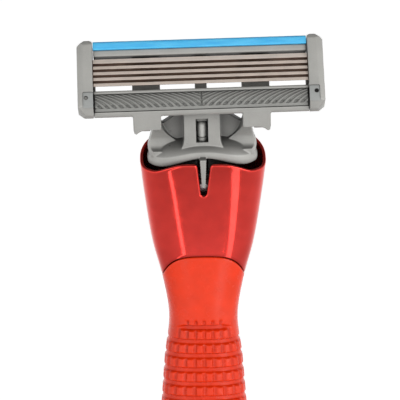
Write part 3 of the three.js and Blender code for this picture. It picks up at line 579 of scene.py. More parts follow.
def cap_outline(count):
    """How far points round the cap lie to the side and to the front."""
    turns = np.linspace(0, 2 * math.pi, count, endpoint=False)
    depth = np.where(np.cos(turns) > 0, CAP_FRONT, CAP_BACK)
    side = CAP_HALF * signed_power(np.sin(turns), 2 / CAP_SQUARENESS)
    return side, depth * signed_power(np.cos(turns), 2 / CAP_SQUARENESS)


def dock_cap():
    """A domed plate over a narrower skirt."""
    side, front = cap_outline(160)
    low, high = cap_edges(side)
    ring = lambda share, z: np.stack([side * share, -front * share, z + 0 * side], -1)
    rings = [ring(0.42, CAP_SKIRT), ring(0.44, low - 1.0), ring(0.6, low - 0.45), ring(0.93, low - 0.06)]
    rings += [ring(0.985, low), ring(1.0, low + 0.12), ring(1.0, low + 0.6 * (high - low))]
    for share in np.linspace(0.965, 0.02, 24):
        rings.append(ring(share, high + (CAP_CROWN - high) * (1 - share**3)))
    return loft(rings)


def dock_post():
    base = 3.2
    left = curve((-POST_HALF - 1.1, base), (-POST_HALF, base + 0.6), (-POST_HALF, base + 2.8))
    right = [(-x, z) for x, z in left[::-1]]
    top = [(-POST_HALF, POST_TOP), (POST_HALF, POST_TOP)]
    return prism(left + top + right, "y", -POST_FRONT, 0.3)


def dock_gables():
    inner, outer = POST_HALF - 0.5, HORN_X[0] + 0.5
    height = lambda x: GABLE_EDGE + (HORN_X[0] - x) * GABLE_SLOPE
    right = [(inner, GABLE_FOOT), (outer, GABLE_FOOT), (outer, height(outer)), (inner, height(inner))]
    return [prism([(side * x, z) for x, z in right], "y", -GABLE_HALF, GABLE_HALF) for side in (1, -1)]


def cap_column(low, high, spread=1.0):
    """A tall solid on the cap's outline."""
    side, front = cap_outline(120)
    return prism(list(zip(spread * side, -spread * front)), "z", low, high)


def dock_horn(side):
    """One horn: a web that leans forwards to its round tip, filleted inside, flared outside. Low
    down it stays within the cap's outline."""
    _, pivot_y, pivot_z = PIVOT
    near, far = HORN_X
    tip = arc((pivot_y, pivot_z), HORN_R, 0.6 / DEG, 180, 16)
    back = curve((HORN_BACK, HORN_LOW + 1), (HORN_BACK - 1, HORN_LOW + 4), tip[0], 8)
    start, end = (pivot_y - HORN_R, pivot_z - 0.8), (HORN_FRONT, HORN_LOW + 0.4)
    toe = (HORN_FRONT - 1.2, HORN_LOW - 1.6)
    front = curve(start, (HORN_FRONT - 0.6, HORN_LOW + 2.4), end, 12)
    front += curve(end, (HORN_FRONT - 0.1, HORN_LOW - 1.3), toe, 12)[1:]
    web = [(HORN_BACK + 0.8, HORN_FOOT)] + back + tip[1:] + front + [(toe[0], HORN_FOOT)]
    plate = prism(web, "x", *mirrored(side, near, far))
    reach = near - HORN_REACH
    sweep = curve((near, pivot_z), (near, HORN_LOW + 1.4), (reach, HORN_LOW), 14)
    inner = [(near + 0.3, pivot_z)] + sweep + [(reach, HORN_FOOT), (near + 0.3, HORN_FOOT)]
    flare_x, flare_z = HORN_FLARE
    spread = curve((far, flare_z + 3.2), (far + 0.2, flare_z + 1), (flare_x + 0.1, flare_z - 1.2), 14)
    outer = [(far - 0.3, flare_z + 3.2)] + spread + [(flare_x - 0.6, HORN_FOOT), (far - 0.3, HORN_FOOT)]
    flip = lambda outline: [(side * x, z) for x, z in outline]
    broad = lambda: prism(web, "x", -CAP_HALF - 1, CAP_HALF + 1)
    fillet = combine(prism(flip(inner), "y", -5, HORN_BACK), [broad()], "INTERSECT")
    column = cap_column(0, 12, CAP_SHARE)
    flare = combine(prism(flip(outer), "y", -5, HORN_BACK), [broad(), column], "INTERSECT")
    low, high = HORN_LOW + 1.6, PIVOT[2] + 3
    within = union([cap_column(0, low, CAP_SHARE), box((-12, 12), (-8, 8), (low - 0.2, high))])
    return combine(union([plate, fillet, flare]), [within], "INTERSECT")


def dock_tail():
    outline = [(-0.55, 2.6), (0.55, 2.6), (0.33, -2.3), (0.2, -2.65), (-0.2, -2.65), (-0.33, -2.3)]
    return prism(outline, "y", -5.45, -CAP_FRONT + 0.3)


def dock_body():
    stem = box((-STEM_HALF, STEM_HALF), (-STEM_DEEP, STEM_DEEP), STEM_Z)
    cam_front, sill, sill_front = PLUNGER_Y - 0.95, 7.7, -0.15
    body = union([dock_cap(), dock_post(), *dock_gables(), dock_horn(1), dock_horn(-1), dock_tail(), stem])
    soften(body, 0.1, 7)
    bore = rod("z", PLUNGER_R + 0.1, SEAT_Z - 0.8, POST_TOP + 1, (0, PLUNGER_Y))
    window = box((-WINDOW_HALF, WINDOW_HALF), (-POST_FRONT - 1, PLUNGER_Y), WINDOW_Z)
    pin_hole = rod("y", PIN_R + 0.06, -6, 6, (0, ROLL_Z))
    leaf_slot = box((-0.65, 0.65), (-1.8, 1.8), (-7, -5.2))
    cam_way = box((-1.25, 1.25), (cam_front, sill_front), (6.2, POST_TOP + 1))
    over_sill = box((-1.25, 1.25), (cam_front, 1), (sill, POST_TOP + 1))
    return cut(body, [bore, window, pin_hole, leaf_slot, cam_way, over_sill])


def plunger():
    r, base, tip = PLUNGER_R, PLUNGER_BASE, PLUNGER_TIP
    low, high, neck = 5.28, 5.58, 0.62
    foot = [(r - 0.06, base), (r, base + 0.06), (r, low), (neck, low + 0.06), (neck, high - 0.06), (r, high)]
    dome = [(r * math.cos(t), tip - r * 0.8 * (1 - math.sin(t))) for t in np.linspace(0, 1.45, 14)]
    return lathe(foot + dome + [(0.02, tip)], "z", (0, PLUNGER_Y))


def coil(radius, wire, turns, length):
    """A coil spring that stands on Z = 0."""
    steps, around = 32, 12
    turn = np.linspace(0, 2 * math.pi * turns, turns * steps + 1)
    rise = wire + (length - 2 * wire) * turn / turn[-1]
    rings = []
    for t in np.linspace(0, 2 * math.pi, around, endpoint=False):
        out = radius + wire * math.cos(t)
        rings.append(np.stack([out * np.cos(turn), out * np.sin(turn), rise + wire * math.sin(t)], -1))
    return loft(np.swapaxes(np.array(rings), 0, 1))


def squeezed(made):
    """Gives a spring a mesh of its own."""
    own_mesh(made)


def horn_pin(side):
    ends = (HORN_X[1] + 0.03, EAR_X[1] - 0.35)
    chamfer, r = 0.12, TRUNNION_R
    levels = [(r - chamfer, ends[0]), (r, ends[0] + chamfer), (r, ends[1] - chamfer), (r - chamfer, ends[1])]
    return lathe([(radius, side * x) for radius, x in levels], "x", PIVOT[1:], 48)


# ---- cartridge ----


def guard_outline(inset, lift):
    """The guard's section, in Y and Z: flat behind, its face curving back to the bottom edge."""
    front = FACE + inset
    top = GUARD_TOP - inset * 0.1
    face = [(WEB, top), (front + 0.25, top), (front, GUARD_TOP - 0.3), (front, GUARD_TOP - 1.6)]
    bend = (front, BOTTOM + 1 + inset * 0.5)
    foot = (FACE + 1.5 + inset * 0.7, BOTTOM + lift)
    return face[:3] + curve(face[3], bend, foot, 14) + [(WEB, BOTTOM + lift)]


def guard_bar(half):
    """The bar keeps its full section above and below the bed that holds the soft guard."""
    full = prism(guard_outline(0.3, 0.0), "x", -half, half)
    hollow = box((-half - 1, half + 1), (FACE - 1, 0), (BED[0] - BED_DROP, BED[1]))
    return union([cut(full, [hollow]), prism(guard_outline(1.0, 0.3), "x", -half, half)])


def cap_bar(half):
    front, floor = FACE + 0.15, FACE + 1
    outline = [(BACK, LIP[0]), (front, LIP[0]), (front, LIP[1]), (floor, LIP[1]),
               (floor, TOP - 0.6), (BACK - 0.8, TOP - 0.15), (BACK, TOP - 1.2)]
    return prism(outline, "x", -half, half)


def ear_plate(side):
    near, far = EAR_X
    edge = -0.6
    hook = curve((near + 2.1, edge), (far - 1.3, edge), (far - 0.5, edge - 0.8), 12)
    outline = [(near, 2.3), (near, edge)] + hook + [(far - 0.1, edge - 0.55), (far, 2.3)]
    plate = prism([(side * x, z) for x, z in outline], "y", -2.4, -1.45)
    return moved(plate, UPRIGHT)


def ear(side):
    near, far = EAR_X
    cheek = [(WEB, 3), (WEB - 0.4, -0.3), (-1.3, -2.0), (-0.5, -1.6)]
    cheek += arc((0, 0), 1.7, -1.9 / DEG, 1 / DEG, 20) + [(BACK, 3)]
    wall = prism(cheek, "x", *mirrored(side, HORN_X[1] + 0.35, far))
    bore = rod("x", TRUNNION_R + 0.1, -12, 12, (0, 0))
    blind = box(mirrored(side, far - 0.3, far), (-1.2, 1.2), (-1.2, 1.2))
    block = box(mirrored(side, near, far), (WEB, BACK), (RIB_FOOT, LIP[0] + 0.1))
    return [union([cut(wall, [bore]), blind]), block, ear_plate(side)]


def cam():
    depth = PIVOT[2] - PLUNGER_TIP - 0.08
    foot = prism([(1.2, -depth), (2.9, -depth), (3.4, 2.2), (1.3, 3), (1.0, RIB_FOOT)], "x", -1, 1)
    return [moved(foot, UPRIGHT), box((-1, 1), (WEB, BACK), (RIB_FOOT, LIP[0] + 0.1))]


def housing():
    inside = OPEN_HALF - GAP
    tenons = [
        box(mirrored(side, inside - 0.2, OPEN_HALF + 1.4), (WEB + 0.3, BACK - 0.2), (1.3, LIP[0] + 0.3))
        for side in (1, -1)
    ]
    bars = [guard_bar(OPEN_HALF - 0.02), cap_bar(inside)]
    made = union([*bars, *tenons, *ear(1), *ear(-1), *cam()])
    return soften(made, 0.13, 3)


def end_cap(side):
    outline = [(FACE - 0.5, TOP - 0.9), (FACE + 0.3, TOP + 0.1), (BACK - 0.5, TOP), (BACK + 0.1, TOP - 0.8),
               (BACK + 0.1, BOTTOM + 1.5), (BACK - 1, BOTTOM + 0.1), (FACE + 0.9, BOTTOM - 0.05),
               (FACE - 0.4, BOTTOM + 1.3)]
    made = prism(outline, "x", *mirrored(side, OPEN_HALF + 0.02, HALF_LENGTH))
    reach = 1.3

    def corner(z, up):
        triangle = [(reach, 0), (0, 0), (0, -up * reach)]
        points = [(side * (HALF_LENGTH - x + 0.01), z + dz + up * 0.1) for x, dz in triangle]
        return prism(points, "y", FACE - 3, 0)

    slope = [(side * (HALF_LENGTH - 1.15), FACE - 1.5), (side * (HALF_LENGTH - 1.15), FACE - 0.5),
             (side * (HALF_LENGTH + 0.1), FACE - 0.02), (side * (HALF_LENGTH + 0.1), FACE - 1.5)]
    facet = prism(slope, "z", BOTTOM - 1, TOP + 1)
    cut(made, [corner(TOP + 0.1, 1), corner(BOTTOM - 0.05, -1), facet])
    bevel(made, 0.14, 3, 18)
    pocket = lambda y, z: box(mirrored(side, 0, OPEN_HALF + 1.55), y, z)
    tenon = pocket((WEB + 0.15, BACK - 0.05), (1.15, LIP[0] + 0.45))
    support = pocket((FACE + 0.25, FACE + 2.4), (FIRST_EDGE - 0.4, LIP[0] + 0.1))
    lug = prism(rounded(lug_outline(side, LUG_X, LUG_Z), 0.25), "y", FACE - 1, FACE - LUG_DEPTH)
    brow = [(side * (OPEN_HALF - 0.1), TOP - 0.35), (side * (OPEN_HALF + 0.6), TOP + 0.12),
            (side * (OPEN_HALF + 0.6), TOP + 1), (side * (OPEN_HALF - 0.1), TOP + 1)]
    pit = lug_pit(side, 0.5 if side > 0 else 0.0)
    return cut(made, [tenon, support, lug, pit, prism(brow, "y", FACE - 3, 0)])


def lug_outline(side, x, z):
    return rectangle([side * (OPEN_HALF + reach) for reach in x], z)


def lug_pit(side, depth):
    return rod("y", LUG_PIT_R, FACE - 1, FACE + depth, (side * (OPEN_HALF + LUG_PIT_X), LUG_PIT_Z), 32)


def lug_pad(side):
    """The pad in the end cap's recess, with a small pit."""
    outline = rounded(lug_outline(side, LUG_PAD_X, LUG_PAD_Z), 0.2)
    pad = bevel(prism(outline, "y", FACE - 0.28, FACE - 0.2), 0.03, 2)
    return cut(pad, [lug_pit(side, 1)])


def lubricating_strip():
    """A waxy bar with soft edges and a slightly uneven crown."""
    low, high = LIP[1] + 0.04, TOP - 0.2
    front, back = FACE - 0.18, FACE + 0.85
    face = [(front, low), (front + 0.02, high - 0.35), (front + 0.4, high)]
    outline = rounded([(back, low), *face, (back, high)], 0.16, 4)
    half = OPEN_HALF - 0.1
    ends = [(-half, 0.9), (-half + 0.02, 0.95), (-half + 0.08, 0.99)]
    middle = [(x, 1.0) for x in np.linspace(-half + 0.2, half - 0.2, 240)]
    centre = np.array([(front + back) / 2, (low + high) / 2])
    rings = []
    for x, share in ends + middle + [(-x, share) for x, share in ends[::-1]]:
        wave = 1 + 0.006 * math.sin(1.7 * x) + 0.004 * math.sin(4.3 * x + 1)
        points = centre + (np.array(outline) - centre) * share * wave
        rings.append(np.column_stack([np.full(len(points), x), points]))
    return loft(rings)


def fin_height(x, down):
    """Height of the fins over their bed. Each starts shallow and turns down towards its foot."""
    start_slope, turn, length = 3.2, 1.12, 2.32
    run = start_slope * down - turn / 2 * down**2
    phase = ((np.abs(x) + run) / FIN_PITCH) % 1
    crest = 1 - smooth(0.13, 0.40, np.abs(phase - 0.5))
    ends = smooth(0.0, 0.12, down) * (1 - smooth(length - 0.14, length, down))
    centre_slit = smooth(0.06, 0.18, np.abs(x))
    valley = (1 - crest) * (1 - smooth(0, 0.4, down) * (1 - smooth(1.7, 2.0, down)))
    inside = smooth(0.0, 0.08, down) * (1 - smooth(length, length + 0.1, down))
    return 0.24 * crest * ends * centre_slit - 0.2 * valley * inside - 0.14 * (1 - centre_slit) * inside


def guard_fins():
    """The soft guard: one curved skin, its fins raised from it."""
    half = OPEN_HALF - 0.3
    section = np.array(guard_outline(0.40, 0.28))
    run = run_along(section)
    top, foot = BED[1] - 0.08, BED[0] - BED_DROP + 0.04
    falling = [i for i in range(len(section) - 1) if section[i][0] < FACE + 1.4]
    z_run = np.interp([-top, -foot], -section[falling, 1], run[falling])
    rows = np.linspace(z_run[0], z_run[1], 70)
    y = np.interp(rows, run, section[:, 0])
    z = np.interp(rows, run, section[:, 1])
    slope = np.gradient(np.stack([y, z], -1), axis=0)
    slope /= np.linalg.norm(slope, axis=1)[:, None]
    out = np.stack([slope[:, 1], -slope[:, 0]], -1)
    x = np.linspace(-half, half, 620)
    rings = []
    for i in range(len(rows)):
        rise = fin_height(x, rows[i] - rows[0])
        rings.append(np.column_stack([x, y[i] + out[i, 0] * rise, z[i] + out[i, 1] * rise]))
    thick = 0.4
    for i in (len(rows) - 1, len(rows) // 2, 0):
        rings.append(np.column_stack([x, 0 * x + y[i] - out[i, 0] * thick, 0 * x + z[i] - out[i, 1] * thick]))
    return belt(rings)


def belt(rings):
    """A closed tube whose rows run along X, with its two ends capped."""
    rings = np.asarray(rings, float)
    return loft(np.swapaxes(rings, 0, 1))


def along_blade(i, back, down):
    edge = FIRST_EDGE + i * BLADE_PITCH
    c, s = math.cos(BLADE_ANGLE), math.sin(BLADE_ANGLE)
    return (FACE + back * s + down * c, edge + back * c - down * s)


def blade_width(i):
    return TOP_BLADE_WIDTH if i == BLADES - 1 else BLADE_WIDTH


def blade(i):
    """A blade with its ground edge: a fine facet on the upper side and a wide one below."""
    half, width = OPEN_HALF - 0.1, blade_width(i)
    outline = [along_blade(i, 0, 0.03), along_blade(i, 0.1, 0.0), along_blade(i, width - 0.02, 0.0),
               along_blade(i, width, 0.02), along_blade(i, width, BLADE_THICK),
               along_blade(i, 0.2, BLADE_THICK)]
    return prism(outline, "x", -half, half)


def blade_support(i):
    """A bent strip under a blade. Its leg slants down into the housing; the lowest is short."""
    under, limb, leg = BLADE_THICK + 0.03, 0.14, 0.18
    deep = 0.4 if i == 0 else 1.5
    knee_y, knee_z = along_blade(i, blade_width(i), under)
    end_y, end_z = knee_y + deep, knee_z - deep / 3
    before, after = along_blade(i, blade_width(i) - 0.14, under), (knee_y + 0.14, knee_z - 0.05)
    outline = [along_blade(i, 0.22, under)] + curve(before, (knee_y, knee_z), after, 6)
    outline += [(end_y, end_z), (end_y, end_z - leg), (knee_y + 0.1, knee_z - leg)]
    outline.append(along_blade(i, 0.22, under + limb))
    return prism(outline, "x", -OPEN_HALF - 1.2, OPEN_HALF + 1.2)


# ---- materials ----


def new_material(name, colour, roughness, metallic=0.0, coat=0.0, coat_roughness=0.1):
    """A material with its principled shader. What is the same all over is set on the shader."""
    material = bpy.data.materials.new(name)
    material.use_nodes = True
    shader = material.node_tree.nodes["Principled BSDF"]
    shader.inputs["Base Color"].default_value = (*colour, 1)
    shader.inputs["Roughness"].default_value = roughness
    shader.inputs["Metallic"].default_value = metallic
    shader.inputs["Coat Weight"].default_value = coat
    shader.inputs["Coat Roughness"].default_value = coat_roughness
    return material, material.node_tree, shader


def translucent(shader, weight, reach):
    """Lets light through, as far as reach in millimetres for red, green and blue."""
    shader.inputs["Subsurface Weight"].default_value = weight
    shader.inputs["Subsurface Radius"].default_value = [r * MM for r in reach]
    shader.inputs["Subsurface Scale"].default_value = 1.0


def add(tree, kind, **settings):
    node = tree.nodes.new(kind)
    for key, value in settings.items():
        if key in node.inputs:
            node.inputs[key].default_value = value
        else:
            setattr(node, key, value)
    return node


def feed(node, socket, value):
    node.id_data.links.new(value, node.inputs[socket])


def placed(tree, stretch=(1, 1, 1)):
    """Object coordinates in millimetres, squeezed along the axes."""
    place = tree.nodes.new("ShaderNodeTexCoord")
    scale = tree.nodes.new("ShaderNodeMapping")
    scale.inputs["Scale"].default_value = [1000 * s for s in stretch]
    feed(scale, "Vector", place.outputs["Object"])
    return scale.outputs["Vector"]


def noise(tree, size, detail=3, stretch=(1, 1, 1)):
    """A noise whose features are about size millimetres across."""
    node = add(tree, "ShaderNodeTexNoise", Scale=1 / size, Detail=detail)
    feed(node, "Vector", placed(tree, stretch))
    return node.outputs["Fac"]


def ramp(tree, value, stops):
    """Colours or greys picked by a value."""
    node = tree.nodes.new("ShaderNodeValToRGB")
    while len(node.color_ramp.elements) < len(stops):
        node.color_ramp.elements.new(0.5)
    for element, (at, colour) in zip(node.color_ramp.elements, stops):
        element.position = at
        element.color = (*colour, 1) if hasattr(colour, "__len__") else (colour, colour, colour, 1)
    feed(node, "Fac", value)
    return node.outputs["Color"]


def times(tree, a, b):
    """One colour multiplied by another."""
    node = add(tree, "ShaderNodeMix", data_type="RGBA", blend_type="MULTIPLY", Factor=1.0)
    feed(node, "A", a)
    feed(node, "B", b)
    return node.outputs["Result"]


def bump(tree, heights, shader):
    """Bumps from (value, depth in millimetres) pairs, one over the other."""
    normal = None
    for value, depth in heights:
        node = add(tree, "ShaderNodeBump", Distance=depth * MM, Strength=1.0)
        feed(node, "Height", value)
        if normal:
            feed(node, "Normal", normal)
        normal = node.outputs["Normal"]
    feed(shader, "Normal", normal)


def scaled(colour, factor):
    return tuple(min(1, c * factor) for c in colour)


def crease_shade(tree, distance, dark, open_at):
    """Painted shade: a grey that is dark in inner corners and recesses, by ambient occlusion."""
    node = add(tree, "ShaderNodeAmbientOcclusion", samples=16, Distance=distance * MM)
    return ramp(tree, node.outputs["AO"], [(0.0, dark), (open_at, 1.0)])


def upward(tree, coordinate):
    """The Z of one of the texture coordinates."""
    place = tree.nodes.new("ShaderNodeTexCoord")
    split = tree.nodes.new("ShaderNodeSeparateXYZ")
    feed(split, "Vector", place.outputs[coordinate])
    return split.outputs["Z"]


def facing_shade(tree, under, over):
    """Painted shade: a grey by the way a face looks, under where it looks down, over where it looks up."""
    share = add(tree, "ShaderNodeMath", operation="MULTIPLY_ADD")
    feed(share, 0, upward(tree, "Normal"))
    share.inputs[1].default_value = share.inputs[2].default_value = 0.5
    return ramp(tree, share.outputs["Value"], [(0.36, under), (0.52, 1.0), (0.6, 1.0), (0.8, over)])


def moulded(name, colour, roughness, grain=0.06, shade=0.12, reach=2.5, under=1.0, over=1.0):
    """Moulded plastic: fine spark texture, faint flow marks, gloss that varies with handling, and painted
    shade in recesses and on faces that look up or down.
    """
    material, tree, shader = new_material(name, colour, roughness)
    cloud = ramp(tree, noise(tree, 3.0, 4), [(0.3, scaled(colour, 0.95)), (0.7, scaled(colour, 1.05))])
    speck = ramp(tree, noise(tree, grain * 2, 2), [(0.35, 0.93), (0.65, 1.0)])
    # painted shade: darker by the way a face looks, and in corners and recesses
    base = times(tree, times(tree, cloud, speck), facing_shade(tree, under, over))
    feed(shader, "Base Color", times(tree, base, crease_shade(tree, reach, shade, 0.9)))
    gloss = ramp(tree, noise(tree, 1.3, 5), [(0.3, roughness - 0.07), (0.7, roughness + 0.09)])
    feed(shader, "Roughness", gloss)
    bump(tree, [(noise(tree, grain, 2), 0.003), (noise(tree, 0.9, 2), 0.004)], shader)
    return material


def metallised_red(name):
    """A red metallised shell under clear lacquer: flake, faint orange peel and fine scratches."""
    deep, bright = (0.63, 0.028, 0.019), (0.72, 0.036, 0.025)
    material, tree, shader = new_material(name, bright, 0.12, 0.92, 0.45, 0.04)
    shader.inputs["Coat Tint"].default_value = (1.0, 0.86, 0.83, 1)
    body = ramp(tree, noise(tree, 2.2, 3), [(0.3, deep), (0.7, bright)])
    flake = add(tree, "ShaderNodeTexVoronoi", Scale=1 / 0.07)
    feed(flake, "Vector", placed(tree))
    sparkle = ramp(tree, flake.outputs["Color"], [(0.2, 0.88), (0.85, 1.0)])
    feed(shader, "Base Color", times(tree, body, sparkle))
    hair = noise(tree, 0.12, 2, (1, 1, 0.06))
    feed(shader, "Roughness", ramp(tree, hair, [(0.45, 0.08), (0.75, 0.2)]))
    bump(tree, [(noise(tree, 0.9, 1), 0.0012), (hair, 0.0002)], shader)
    return material


def elastomer(name, colour):
    """Soft over-mould: matt skin with polished patches, faint mottling and dust-fine grain, and painted shade
    in its grooves, slots and other recesses.
    """
    material, tree, shader = new_material(name, colour, 0.3)
    shader.inputs["Specular IOR Level"].default_value = 0.3
    translucent(shader, 0.08, (1.6, 0.6, 0.3))
    cloud = ramp(tree, noise(tree, 2.6, 4), [(0.3, scaled(colour, 0.92)), (0.7, scaled(colour, 1.06))])
    # painted shade: darker in grooves, slots and other recesses
    feed(shader, "Base Color", times(tree, cloud, crease_shade(tree, 0.9, 0.42, 0.95)))
    feed(shader, "Roughness", ramp(tree, noise(tree, 1.6, 5), [(0.35, 0.2), (0.7, 0.32)]))
    bump(tree, [(noise(tree, 0.09, 2), 0.001), (noise(tree, 1.1, 2), 0.002)], shader)
    return material


def waxy_strip(name):
    """A soap-filled strip: chalky streaks along its length and small pits."""
    light, deep = (0.11, 0.55, 0.88), (0.06, 0.44, 0.80)
    material, tree, shader = new_material(name, light, 0.5)
    translucent(shader, 0.2, (0.3, 0.6, 1.0))
    streak = noise(tree, 0.5, 4, (0.12, 1, 1))
    feed(shader, "Base Color", ramp(tree, streak, [(0.3, deep), (0.72, light)]))
    feed(shader, "Roughness", ramp(tree, noise(tree, 0.7, 3), [(0.3, 0.36), (0.7, 0.6)]))
    pits = ramp(tree, noise(tree, 0.16, 3), [(0.35, 0.0), (0.5, 1.0)])
    bump(tree, [(streak, 0.012), (pits, 0.004)], shader)
    return material


def brushed(name, colour, roughness, stretch, dark=0.75, metallic=1.0):
    """Fine lines along one direction, with a slight tarnish: metal, or paler and duller with a
    low metallic."""
    material, tree, shader = new_material(name, colour, roughness, metallic)
    lines = noise(tree, 0.05, 3, stretch)
    stain = ramp(tree, noise(tree, 2.5, 3), [(0.3, scaled(colour, dark)), (0.65, colour)])
    shade = ramp(tree, lines, [(0.3, 0.85), (0.7, 1.0)])
    feed(shader, "Base Color", times(tree, stain, shade))
    gloss = ramp(tree, lines, [(0.3, roughness - 0.08), (0.7, roughness + 0.1)])
    feed(shader, "Roughness", gloss)
    bump(tree, [(lines, 0.0015)], shader)
    return material


# ---- stage ----

FLOOR_GLOW = 0.72
FLOOR_DIM = (0.12, 0.3, 0.1)  # from this far out to this far, and the share of glow inside
SKY_SHADES = [(0.0, 1.0), (0.3, 0.82), (0.65, 0.18), (1.0, 0.12)]  # by the sine of the elevation

def studio_floor():
    """A pale table that gives off light, so that it shows white, except round the razor."""
    size, z = 6.0, cad_box[0].z - 0.0006
    bpy.ops.mesh.primitive_plane_add(size=size, location=(0, 0, z))
    floor = bpy.context.object
    floor.name = "studio_floor"
    material, tree, shader = new_material("floor_paint", (0.9, 0.9, 0.9), 0.8)
    feed(shader, "Base Color", ramp(tree, noise(tree, 40, 2), [(0.3, 0.89), (0.7, 0.91)]))
    place = tree.nodes.new("ShaderNodeTexCoord")
    far = add(tree, "ShaderNodeVectorMath", operation="LENGTH")
    feed(far, 0, place.outputs["Object"])
    glow = ramp(tree, far.outputs["Value"], [(FLOOR_DIM[0], FLOOR_DIM[2]), (FLOOR_DIM[1], 1.0)])
    feed(shader, "Emission Color", glow)
    shader.inputs["Emission Strength"].default_value = FLOOR_GLOW
    floor.data.materials.append(material)


def card(name, start, end, width, radiance, aim=(0, -0.006, 0.032)):
    """A strip light along the line from start to end, of a set brightness, turned to a point."""
    start, end, aim = Vector(start), Vector(end), Vector(aim)
    middle = (start + end) / 2
    along = (end - start).normalized()
    back = (middle - aim).normalized()
    across = along.cross(back).normalized()
    data = bpy.data.lights.new(name, "AREA")
    data.shape = "RECTANGLE"
    data.size, data.size_y = width, (end - start).length
    data.energy = radiance * math.pi * data.size * data.size_y
    light = bpy.data.objects.new(name, data)
    bpy.context.scene.collection.objects.link(light)
    axes = Matrix((across, along, across.cross(along))).transposed().to_4x4()
    light.matrix_world = Matrix.Translation(middle) @ axes
    light.visible_camera = False


def studio_sky():
    """A dome that is white at the horizon and dimmer overhead."""
    world = bpy.data.worlds.new("studio")
    world.use_nodes = True
    tree = world.node_tree
    background = tree.nodes["Background"]
    feed(background, "Color", ramp(tree, upward(tree, "Generated"), SKY_SHADES))
    bpy.context.scene.world = world


def studio_light():
    studio_sky()
    card("key", (-0.36, -0.45, -0.02), (-0.30, -0.42, 0.30), 0.4, 1.3)
    card("fill", (0.40, -0.42, -0.02), (0.34, -0.40, 0.30), 0.3, 4.0)
    card("glint", (0.032, -0.096, -0.0155), (0.038, -0.094, -0.0115), 0.006, 14, (0.002, -0.005, 0.016))
    card("streak_left", (-0.0475, -0.0836, -0.0436), (-0.0295, -0.1122, -0.0275), 0.006, 2.6)
    card("streak_right", (0.0440, -0.0840, -0.0430), (0.0600, -0.1000, -0.0270), 0.020, 1.9)


VIEW_AZIMUTH, VIEW_ELEVATION, VIEW_ROLL = -1.5 * DEG, 10 * DEG, 0.4 * DEG
VIEW_DISTANCE = 0.4
VIEW_TARGET = Vector((0.0, -3.6, 34.6)) * MM
VIEW_SIDE = -0.55 * MM  # the aim lies this far to the right of the target
LENS = 211.0


def studio_camera():
    data = bpy.data.cameras.new("camera")
    data.lens = LENS
    data.sensor_width = 36
    data.clip_start = 0.01
    camera = bpy.data.objects.new("camera", data)
    bpy.context.scene.collection.objects.link(camera)
    level = math.cos(VIEW_ELEVATION)
    back = Vector((math.sin(VIEW_AZIMUTH) * level, -math.cos(VIEW_AZIMUTH) * level, math.sin(VIEW_ELEVATION)))
    right = Vector((math.cos(VIEW_AZIMUTH), math.sin(VIEW_AZIMUTH), 0))
    turn = (-back).to_track_quat("-Z", "Y")
    roll = Matrix.Rotation(-VIEW_ROLL, 4, "Z").to_quaternion()
    camera.location = VIEW_TARGET + right * VIEW_SIDE + back * VIEW_DISTANCE
    camera.rotation_mode = "QUATERNION"
    camera.rotation_quaternion = turn @ roll
    bpy.context.scene.camera = camera


# ---- assembly ----

GREY = (0.395, 0.39, 0.367)
RED_SKIN = (0.75, 0.034, 0.003)


def make_materials():
    along_x = (0.02, 1, 1)
    return {
        "red": metallised_red("metallised_red"),
        "grip": elastomer("soft_grip", RED_SKIN),
        # painted shade: darker on faces that look down and in recesses
        "grey": moulded("moulded_grey", GREY, 0.42, 0.06, 0.08, 4.0, 0.78),
        # a darker copy of the grey, with painted shade: much darker on faces that look up, and in recesses
        "dock": moulded("dock_grey_painted_shade", scaled(GREY, 0.95), 0.34, 0.06, 0.02, 10.0, 0.84, 0.4),
        "plunger": moulded("plunger_grey", scaled(GREY, 1.2), 0.2, 0.06, 0.2, 2.0),
        "dark": moulded("dark_core", (0.06, 0.010, 0.008), 0.5),
        "rubber": moulded("guard_rubber", (0.24, 0.24, 0.225), 0.55, 0.05, 0.12),
        "pad": moulded("lug_pad", (0.34, 0.35, 0.34), 0.4),
        "strip": waxy_strip("lubricating_strip"),
        "blade": brushed("blade_steel", (0.87, 0.75, 0.66), 0.4, along_x, 0.9, 0.2),
        "support": brushed("support_steel", (0.24, 0.155, 0.11), 0.5, along_x, 0.6, 0.3),
        "steel": brushed("spring_steel", (0.55, 0.55, 0.56), 0.3, (1, 1, 0.1)),
        "weight": brushed("weight_steel", (0.35, 0.35, 0.36), 0.55, (1, 1, 1)),
    }


KEPT = {  # CAD nodes that stay, with the material that each gets
    "core": "dark",
    "balance_weight": "weight",
    "roll_pin": "steel",
    "centring_leaf": "steel",
    "eject_pusher": "dark",
    "spring_seat": "dock",
}


def dress_cad_nodes(looks):
    for node, look in KEPT.items():
        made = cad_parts[node]
        made.data.materials.clear()
        made.data.materials.append(looks[look])


def fitter(looks, place, body):
    """A function that settles pieces in one frame, on one body."""

    def fit(made, name, look, nodes, crease=32):
        settle(made, name, place, body, looks[look], nodes, crease)

    return fit


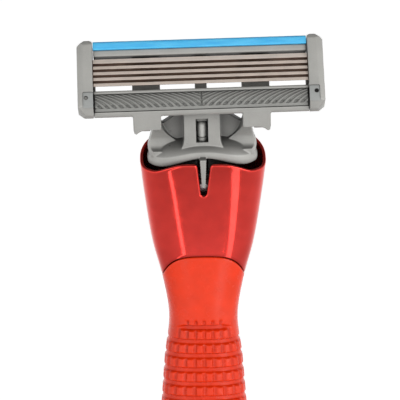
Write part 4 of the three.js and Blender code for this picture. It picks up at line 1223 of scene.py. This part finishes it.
def make_handle(looks):
    fit = fitter(looks, Matrix.Identity(4), "handle")
    fit(head_shell(), "shell_skin", "red", ["head_shell"])
    fit(grip_sleeve(), "grip_skin", "grip", ["grip_sleeve"], 60)
    fit(tail_shell(), "tail_skin", "red", ["tail_shell"])
    fit(tail_cap(), "tail_plug", "grip", ["tail_cap"], 50)
    fitter(looks, EJECT, "release")(eject_button(), "release_button", "grip", ["eject_button"], 80)
    low, length = BUTTON_Z[1] + EJECT_COIL_PLAY, EJECT_COIL["length"]
    made = moved(coil(**EJECT_COIL), Matrix.Translation((0, EJECT_COIL_Y, low)))
    fitter(looks, EJECT, "handle")(made, "release_coil", "steel", ["eject_spring"], 60)
    squeezed(made)


def make_dock(looks):
    fit = fitter(looks, DOCK, "dock")
    fit(dock_body(), "dock_moulding", "dock", ["dock_body"], 50)
    fitter(looks, DOCK, "plunger")(plunger(), "plunger_pin", "plunger", ["plunger"], 40)
    foot = (0, PLUNGER_Y, SEAT_Z + PLUNGER_COIL_PLAY)
    made = moved(coil(**PLUNGER_COIL), Matrix.Translation(foot))
    fit(made, "plunger_coil", "steel", ["plunger_spring"], 60)
    squeezed(made)
    for side, word in ((-1, "left"), (1, "right")):
        fit(horn_pin(side), f"pivot_pin_{word}", "steel", [f"horn_pin_{word}"])


def make_cartridge(looks):
    fit = fitter(looks, CARTRIDGE, "cartridge")
    fit(housing(), "housing_moulding", "grey", ["housing"], 60)
    for side, word in ((-1, "left"), (1, "right")):
        fit(end_cap(side), f"cheek_{word}", "grey", [f"end_cap_{word}"])
        fit(lug_pad(side), f"lug_pad_{word}", "pad", [])
    fit(lubricating_strip(), "soap_strip", "strip", ["lubricating_strip"])
    fit(guard_fins(), "fin_guard", "rubber", ["guard_fins"], 80)
    for i in range(BLADES):
        fit(blade(i), f"edge_{i + 1}", "blade", [f"blade_{i + 1}"], 8)
        fit(blade_support(i), f"carrier_{i + 1}", "support", [f"blade_support_{i + 1}"])


studio_camera()
studio_floor()
studio_light()
bpy.context.scene.view_settings.view_transform = "Standard"
looks = make_materials()
dress_cad_nodes(looks)
make_handle(looks)
make_dock(looks)
make_cartridge(looks)
